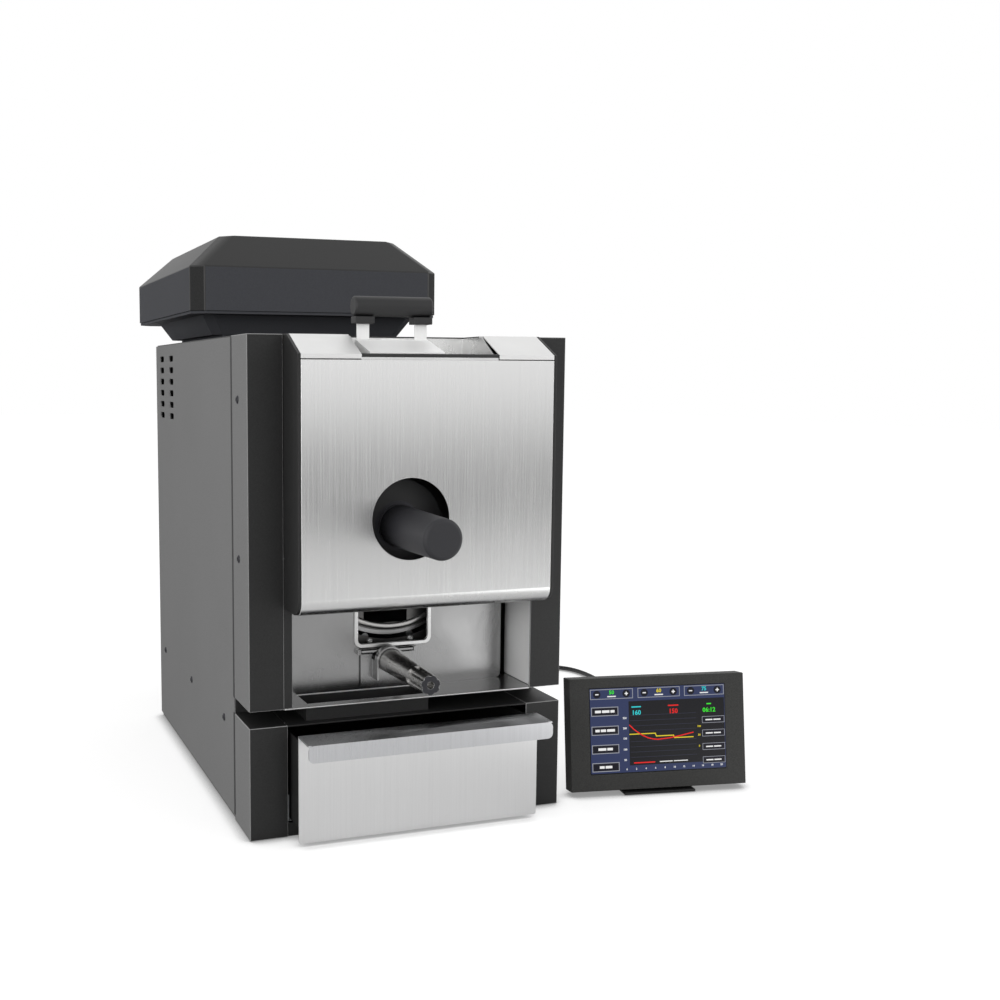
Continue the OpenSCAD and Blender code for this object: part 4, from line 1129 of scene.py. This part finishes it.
@dataclass
class Sampler(Assembly):
    """The bean sampler: grip, spoon and sleeve."""

    def build(self) -> None:
        """Makes and dresses the sampler."""
        self.dress(Paint.BLACK, "sampler_collar")
        # The sleeve in the port is given the near-black steel.
        self.dress(Paint.DARK_STEEL, "sampler_sleeve")
        self.dress(Paint.PLAIN, "sampler_spoon")
        self.dress(Paint.GRIP, "sampler_grip")


@dataclass
class DrumAndDrive(Assembly):
    """The drum with what turns and heats it."""

    def build(self) -> None:
        """Dresses the inside."""
        self.dress(Paint.HEAD, "drum_head")
        self.dress(Paint.PLAIN, "drum", "drum_shaft", "heater_rods", "bean_probe", "chaff_screen")
        self.dress(Paint.ZINC, "drum_bulkhead", "heat_jacket", "exhaust_duct", "fan_mount", "drawer_runners")
        self.dress(Paint.BRONZE, "drum_bearing")
        self.dress(Paint.ALUMINIUM, "drum_pulley", "motor_pulley", "fan_wheel")
        self.dress(Paint.RUBBER, "drive_belt")
        self.dress(Paint.IRON, "drive_motor")
        self.dress(Paint.BOARD, "control_board")


@dataclass
class RearFittings(Assembly):
    """Fan housing, mains inlet and switch."""

    socket_y: float = FRONT + 0.3395
    pins: tuple = ((-0.0545, 0.0505), (-0.0415, 0.0505), (-0.048, 0.0545))
    pin_size: Triple = (0.002, 0.013, 0.0042)
    barrel: Triple = (-0.077, FRONT + 0.351, 0.051)
    barrel_r: float = 0.00905
    mark_turn: float = 24.0
    mark_sunk: float = 0.0002
    mark_proud: float = 0.0001
    bar_half: Span = (0.0028, 0.0004)
    ring_radii: Span = (0.0016, 0.0024)
    ring_steps: int = 28

    def contacts(self) -> None:
        """The three flat pins in the mains socket."""
        wide, deep, high = self.pin_size
        pins = Form()
        for x, z in self.pins:
            pins.joined(Form.block((x - wide / 2, x + wide / 2), (self.socket_y, self.socket_y + deep),
                                   (z - high / 2, z + high / 2)).rounded(THIN_EDGE))
        self.show("mains_pins", pins, Paint.SATIN_AND_EDGE_HIGHLIGHT, "case", "steel")

    def marks(self) -> None:
        """A bar and a ring on the rocker for on and off."""
        base, high = self.barrel_r - self.mark_sunk, self.mark_sunk + self.mark_proud
        wide, tall = self.bar_half
        bar = Form.block((-wide, wide), (base, base + high), (-tall, tall))
        inner, outer = self.ring_radii
        ring = Form.turned([(inner, 0.0), (inner, high), (outer, high), (outer, 0.0), (inner, 0.0)],
                           (0.0, base, 0.0), (0, 1, 0), self.ring_steps)
        both = Form()
        for form, turn in ((bar, self.mark_turn), (ring, -self.mark_turn)):
            swing = Matrix.Rotation(math.radians(turn), 4, "X")
            both.joined(form.moved(Matrix.Translation(self.barrel) @ swing))
        self.show("rocker_marks", both, Paint.MARK, "rocker", "black_plastic")

    def build(self) -> None:
        """Makes and dresses the rear."""
        self.contacts()
        self.marks()
        self.refine("fan_housing", Paint.CASE_BLACK, "case", "case_black", THIN_EDGE)
        self.refine("power_inlet", Paint.BLACK, "case", "black_plastic", SHEET_EDGE)
        self.refine("power_rocker", Paint.RED, "rocker", "black_plastic", SHEET_EDGE)


@dataclass
class ChaffHood(Assembly):
    """The hood that holds the chaff, on its hinge."""

    fold: float = 0.0009
    rim_z: float = 0.4
    band_depth: float = 0.001
    band_top: float = 0.415
    band_rear: float = FRONT + 0.5138

    def above_rim(self, edge: bmesh.types.BMEdge) -> bool:
        """True for a fold that isn't part of the open rim or the hinge."""
        return any(v.co.z > self.rim_z for v in edge.verts)

    def cover(self) -> None:
        """The faceted cover in one coat, painted in three tones as painted shade: a grey band, its corner
        facets and inner walls darker, and the glossier crown darker still.
        """
        low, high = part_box("hood_cover")
        reach = self.band_depth
        form = Form.copy_of("hood_cover").zoned(3, lambda at: at.z < self.band_top)
        form.zoned(2, lambda at: at.z < self.band_top and (
            at.y < low.y + reach or abs(at.y - self.band_rear) < reach
            or at.x < low.x + reach or at.x > high.x - reach))
        form.rounded(self.fold, segments=3, where=self.above_rim)
        # Crown, folds, band and corner facets in tones of one coat: painted shade.
        finishes = (Paint.HOOD_CROWN_PAINTED_SHADE, Paint.HOOD_CROWN_PAINTED_SHADE, Paint.HOOD_GREY, Paint.HOOD_CORNER_PAINTED_SHADE)
        self.show("hood_cover_finished", form, finishes, "hood", "hood_grey", ["hood_cover"])

    def build(self) -> None:
        """Makes and dresses the hood."""
        self.refine("hood_base", Paint.HOOD_GREY, "case", "hood_grey", THICK_EDGE)
        self.cover()


@dataclass
class BeanDrawer(Assembly):
    """The drawer that takes the roasted beans."""

    lip_depth: float = 0.024

    def build(self) -> None:
        """Makes and dresses the drawer."""
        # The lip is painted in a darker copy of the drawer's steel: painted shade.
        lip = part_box("drawer_front")[0].y + self.lip_depth
        # The rounded edges take the satin steel: a painted highlight.
        front = Form.copy_of("drawer_front").rounded(SHEET_EDGE).zoned(2, lambda at: at.y < lip)
        self.show("drawer_front_finished", front, (Paint.DRAWER, Paint.SATIN_AND_EDGE_HIGHLIGHT, Paint.LIP_PAINTED_SHADE), "drawer", "brushed",
                  ["drawer_front"])
        self.refine("drawer_tray", Paint.CASE_BLACK, "drawer", "case_black", THIN_EDGE)


@dataclass
class TouchDisplay(Assembly):
    """The display on its foot, with a plain screen of figures, curves and buttons.

    What is drawn is placed in millimetres, across and up from the lower left corner of the display's face. A
    place is written as its span across and its span up, and figures as their lower edge and their height.
    """

    corner: Triple = (0.1409, -0.1706, 0.004)
    turn: float = -9.7
    lean: float = 7.3
    shell_edge: float = 0.0006
    face: float = 0.0005
    ink: float = 0.00008
    ground: tuple = ((17.1, 131.9), (13.8, 81.6))
    plot: tuple = ((49.6, 131.4), (19.2, 70.6))
    bars: tuple = (((17.4, 53.4), "50", Paint.GREEN), ((57.5, 93.4), "60", Paint.YELLOW),
                   ((97.2, 131.4), "75", Paint.CYAN))
    bar_up: Span = (73.0, 81.0)
    bar_line: float = 0.5
    bar_figures: Span = (76.9, 3.0)
    bar_dash: tuple = (3.6, (74.6, 75.5))
    knob_in: float = 5.6
    knob_r: float = 3.1
    knob_steps: int = 28
    sign_half: Span = (1.4, 0.45)
    left_across: Span = (18.0, 40.8)
    left_high: float = 7.2
    left_line: float = 0.6
    left_words: tuple = ((59.6, (5.0, 6.2, 3.4)), (44.4, (3.6, 4.4, 6.6)), (29.5, (6.6, 4.6)),
                         (15.2, (4.0, 5.6)))  # a button's lower edge and the lengths of its dashes
    word_up: Span = (2.6, 4.6)
    word_gap: float = 0.9
    right_across: Span = (112.0, 131.3)
    right_rows: tuple = (50.4, 39.6, 28.7, 17.9)
    right_high: float = 5.4
    right_line: float = 0.35
    right_words: tuple = ((115.0, 121.0), (121.9, 128.0))
    right_word_up: Span = (2.1, 3.1)
    rule_across: Span = (50.5, 107.0)
    rules: tuple = (59.0, 54.8, 50.6, 46.4, 38.0, 33.8, 29.6, 25.4)
    rule_high: float = 0.3
    left_scale: tuple = (("250", 56.6), ("200", 48.4), ("150", 40.2), ("100", 31.4), ("50", 23.0))
    right_scale: tuple = (("100", 47.4), ("50", 40.4), ("0", 31.5))
    scale_across: Span = (46.0, 109.3)
    scale_high: float = 1.5
    minutes: Triple = (47.0, 8.1, 11)  # the first one's place, the step and how many
    minute_figures: Span = (15.6, 1.4)
    readings: tuple = (("160", 56.0, (59.6, 3.6), (52.0, 60.0), Paint.CYAN),
                       ("150", 87.4, (59.6, 3.6), (83.0, 92.0), Paint.SCARLET),
                       ("06:12", 118.2, (59.4, 3.5), (116.2, 120.2), Paint.GREEN))
    reading_dash_up: Span = (65.4, 66.4)
    legend: tuple = (((53.0, 71.0), (20.6, 21.5), Paint.SCARLET), ((75.0, 86.0), (20.8, 21.5), Paint.WHITE),
                     ((87.0, 99.0), (20.8, 21.5), Paint.WHITE))
    bean_curve: tuple = ((50.1, 51.4), (53.5, 48.0), (57.3, 45.2), (61.2, 42.7), (65.5, 40.7), (69.6, 39.6),
                         (73.9, 39.1), (83.5, 39.8), (93.1, 41.3), (104.0, 43.4))
    power_steps: tuple = ((50.1, 44.1), (71.6, 44.1), (72.6, 41.8), (87.1, 41.8), (88.1, 39.8), (103.9, 39.8))
    curve_lines: Span = (0.85, 0.8)
    drawn: dict[Paint, list[Form]] = field(default_factory=dict)

    def frame(self) -> Matrix:
        """From the display's own axes, x across and z up its face, to the row's."""
        return (Matrix.Translation(self.corner) @ Matrix.Rotation(math.radians(self.turn), 4, "Z")
                @ Matrix.Rotation(math.radians(-self.lean), 4, "X"))

    def draw(self, finish: Paint, *forms: Form) -> None:
        """Keeps shapes for the piece that has this finish."""
        self.drawn.setdefault(finish, []).extend(forms)

    def plate(self, x: Span, z: Span, layer: int = 1) -> Form:
        """A flat shape on the screen, on a layer over the ground.

        Args:
            x: Its span across.
            z: Its span up.
            layer: How many layers it lies over the ground.

        Returns:
            The form.
        """
        back = self.face - layer * self.ink
        return Form.block((x[0] * MM, x[1] * MM), (back - self.ink, back), (z[0] * MM, z[1] * MM))

    def ring(self, x: Span, z: Span, line: float, layer: int = 2) -> Form:
        """The outline of a button.

        Args:
            x: Its span across.
            z: Its span up.
            line: The outline's width.
            layer: Its layer.

        Returns:
            The form.
        """
        inner = (z[0] + line, z[1] - line)
        sides = (((x[0], x[1]), (z[0], z[0] + line)), ((x[0], x[1]), (z[1] - line, z[1])),
                 ((x[0], x[0] + line), inner), ((x[1] - line, x[1]), inner))
        return Form().joined(*[self.plate(across, up, layer) for across, up in sides])

    def figures(self, text: str, x: float, z: float, height: float, layer: int = 3) -> Form:
        """Figures on the screen.

        Args:
            text: The figures.
            x: Their middle.
            z: Their lower edge.
            height: Their height.
            layer: Their layer.

        Returns:
            The form.
        """
        form = Form.lettering(text, height * MM, self.ink)
        return form.moved(Matrix.Translation((x * MM, self.face - (layer + 0.5) * self.ink, z * MM)))

    def stroke(self, points: Sequence[Span], width: float, layer: int) -> Form:
        """A line through points.

        Args:
            points: The points.
            width: The line's width.
            layer: Its layer.

        Returns:
            The form.
        """
        form = Form()
        for (x0, z0), (x1, z1) in zip(points, points[1:]):
            length, angle = math.hypot(x1 - x0, z1 - z0), math.atan2(z1 - z0, x1 - x0)
            bar = self.plate((-width / 2, length + width / 2), (-width / 2, width / 2), layer)
            start = Matrix.Translation((x0 * MM, 0, z0 * MM))
            form.joined(bar.moved(start @ Matrix.Rotation(-angle, 4, "Y")))
        return form

    def knob(self, x: float, z: float, plus: bool) -> None:
        """A round button and its sign.

        Args:
            x: Its middle across.
            z: Its middle up.
            plus: True for a plus, false for a minus.
        """
        layer = 4
        start = (x * MM, self.face - layer * self.ink, z * MM)
        disc = [(0.0, 0.0), (self.knob_r * MM, 0.0), (self.knob_r * MM, 2 * self.ink), (0.0, 2 * self.ink)]
        self.draw(Paint.DARK, Form.turned(disc, start, (0, 1, 0), self.knob_steps))
        long, thin = self.sign_half
        sign = self.plate((x - long, x + long), (z - thin, z + thin), layer)
        if plus:
            for up in ((z - long, z - thin), (z + thin, z + long)):
                sign.joined(self.plate((x - thin, x + thin), up, layer))
        self.draw(Paint.WHITE, sign)

    def top_bars(self) -> None:
        """The three bars with a minus, a reading and a plus."""
        half, dash_up = self.bar_dash
        for (left, right), text, finish in self.bars:
            self.draw(Paint.PALE, self.ring((left, right), self.bar_up, self.bar_line))
            for x, plus in ((left + self.knob_in, False), (right - self.knob_in, True)):
                self.knob(x, sum(self.bar_up) / 2, plus)
            middle = (left + right) / 2
            self.draw(finish, self.figures(text, middle, *self.bar_figures))
            self.draw(Paint.WHITE, self.plate((middle - half, middle + half), dash_up, 2))

    def buttons(self) -> None:
        """The buttons at the left and right, with dashes for their words."""
        for z, words in self.left_words:
            self.draw(Paint.DARK, self.plate(self.left_across, (z, z + self.left_high)))
            self.draw(Paint.PALE, self.ring(self.left_across, (z, z + self.left_high), self.left_line))
            x = sum(self.left_across) / 2 - (sum(words) + self.word_gap * (len(words) - 1)) / 2
            for word in words:
                up = (z + self.word_up[0], z + self.word_up[1])
                self.draw(Paint.WHITE, self.plate((x, x + word), up, 2))
                x += word + self.word_gap
        for z in self.right_rows:
            self.draw(Paint.DARK, self.plate(self.right_across, (z, z + self.right_high), 2))
            self.draw(Paint.PALE, self.ring(self.right_across, (z, z + self.right_high), self.right_line, 3))
            up = (z + self.right_word_up[0], z + self.right_word_up[1])
            self.draw(Paint.WHITE, *[self.plate(across, up, 3) for across in self.right_words])

    def scales(self) -> None:
        """The plot's rules and the figures round it."""
        left, right = self.scale_across
        first, step, count = self.minutes
        for z in self.rules:
            self.draw(Paint.RULE, self.plate(self.rule_across, (z, z + self.rule_high), 2))
        for text, z in self.left_scale:
            self.draw(Paint.WHITE, self.figures(text, left, z, self.scale_high, 2))
        for text, z in self.right_scale:
            self.draw(Paint.YELLOW, self.figures(text, right, z, self.scale_high))
        for i in range(count):
            self.draw(Paint.WHITE, self.figures(str(2 * i), first + step * i, *self.minute_figures, 2))

    def plotted(self) -> None:
        """The readings over the plot, its two curves and its legend."""
        for text, x, size, dash, finish in self.readings:
            self.draw(finish, self.figures(text, x, *size), self.plate(dash, self.reading_dash_up, 2))
        for across, up, finish in self.legend:
            self.draw(finish, self.plate(across, up, 2))
        self.draw(Paint.SCARLET, self.stroke(self.bean_curve, self.curve_lines[0], 4))
        self.draw(Paint.YELLOW, self.stroke(self.power_steps, self.curve_lines[1], 3))

    def picture(self) -> None:
        """Draws the screen and shows each of its colours as a piece."""
        self.draw(Paint.GLASS, self.plate(*self.ground, 0))
        self.draw(Paint.PLOT, self.plate(*self.plot))
        self.top_bars()
        self.buttons()
        self.scales()
        self.plotted()
        for name, finish in (
                ("screen_ground", Paint.GLASS), ("screen_plot_area", Paint.PLOT),
                ("screen_outlines", Paint.PALE), ("screen_buttons", Paint.DARK),
                ("screen_marks", Paint.WHITE), ("screen_rules", Paint.RULE), ("screen_green", Paint.GREEN),
                ("screen_yellow", Paint.YELLOW), ("screen_cyan", Paint.CYAN), ("screen_red", Paint.SCARLET)):
            form = Form().joined(*self.drawn[finish]).moved(self.frame())
            self.show(name, form, finish, "case", "screen", smooth=20.0)

    def build(self) -> None:
        """Makes and dresses the display."""
        self.refine("display_housing", Paint.SHELL, "case", "display_shell", self.shell_edge, segments=3)
        self.dress(Paint.BORDER, "display_screen")
        self.refine("display_stand", Paint.CASE_BLACK, "case", "case_black", SHEET_EDGE)
        self.picture()


def main() -> None:
    """Builds the stage, the cable and every sub-assembly in order."""
    logging.basicConfig(level=logging.INFO, format="%(name)s: %(message)s")
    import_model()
    Studio().build()
    DisplayCable().build()
    for assembly in (CaseShell(), FrontAndHopper(), Alcove(), Sampler(), DrumAndDrive(), RearFittings(),
                     ChaffHood(), BeanDrawer(), TouchDisplay()):
        LOG.info("%s", type(assembly).__name__)
        assembly.build()


if __name__ == "__main__":
    main()
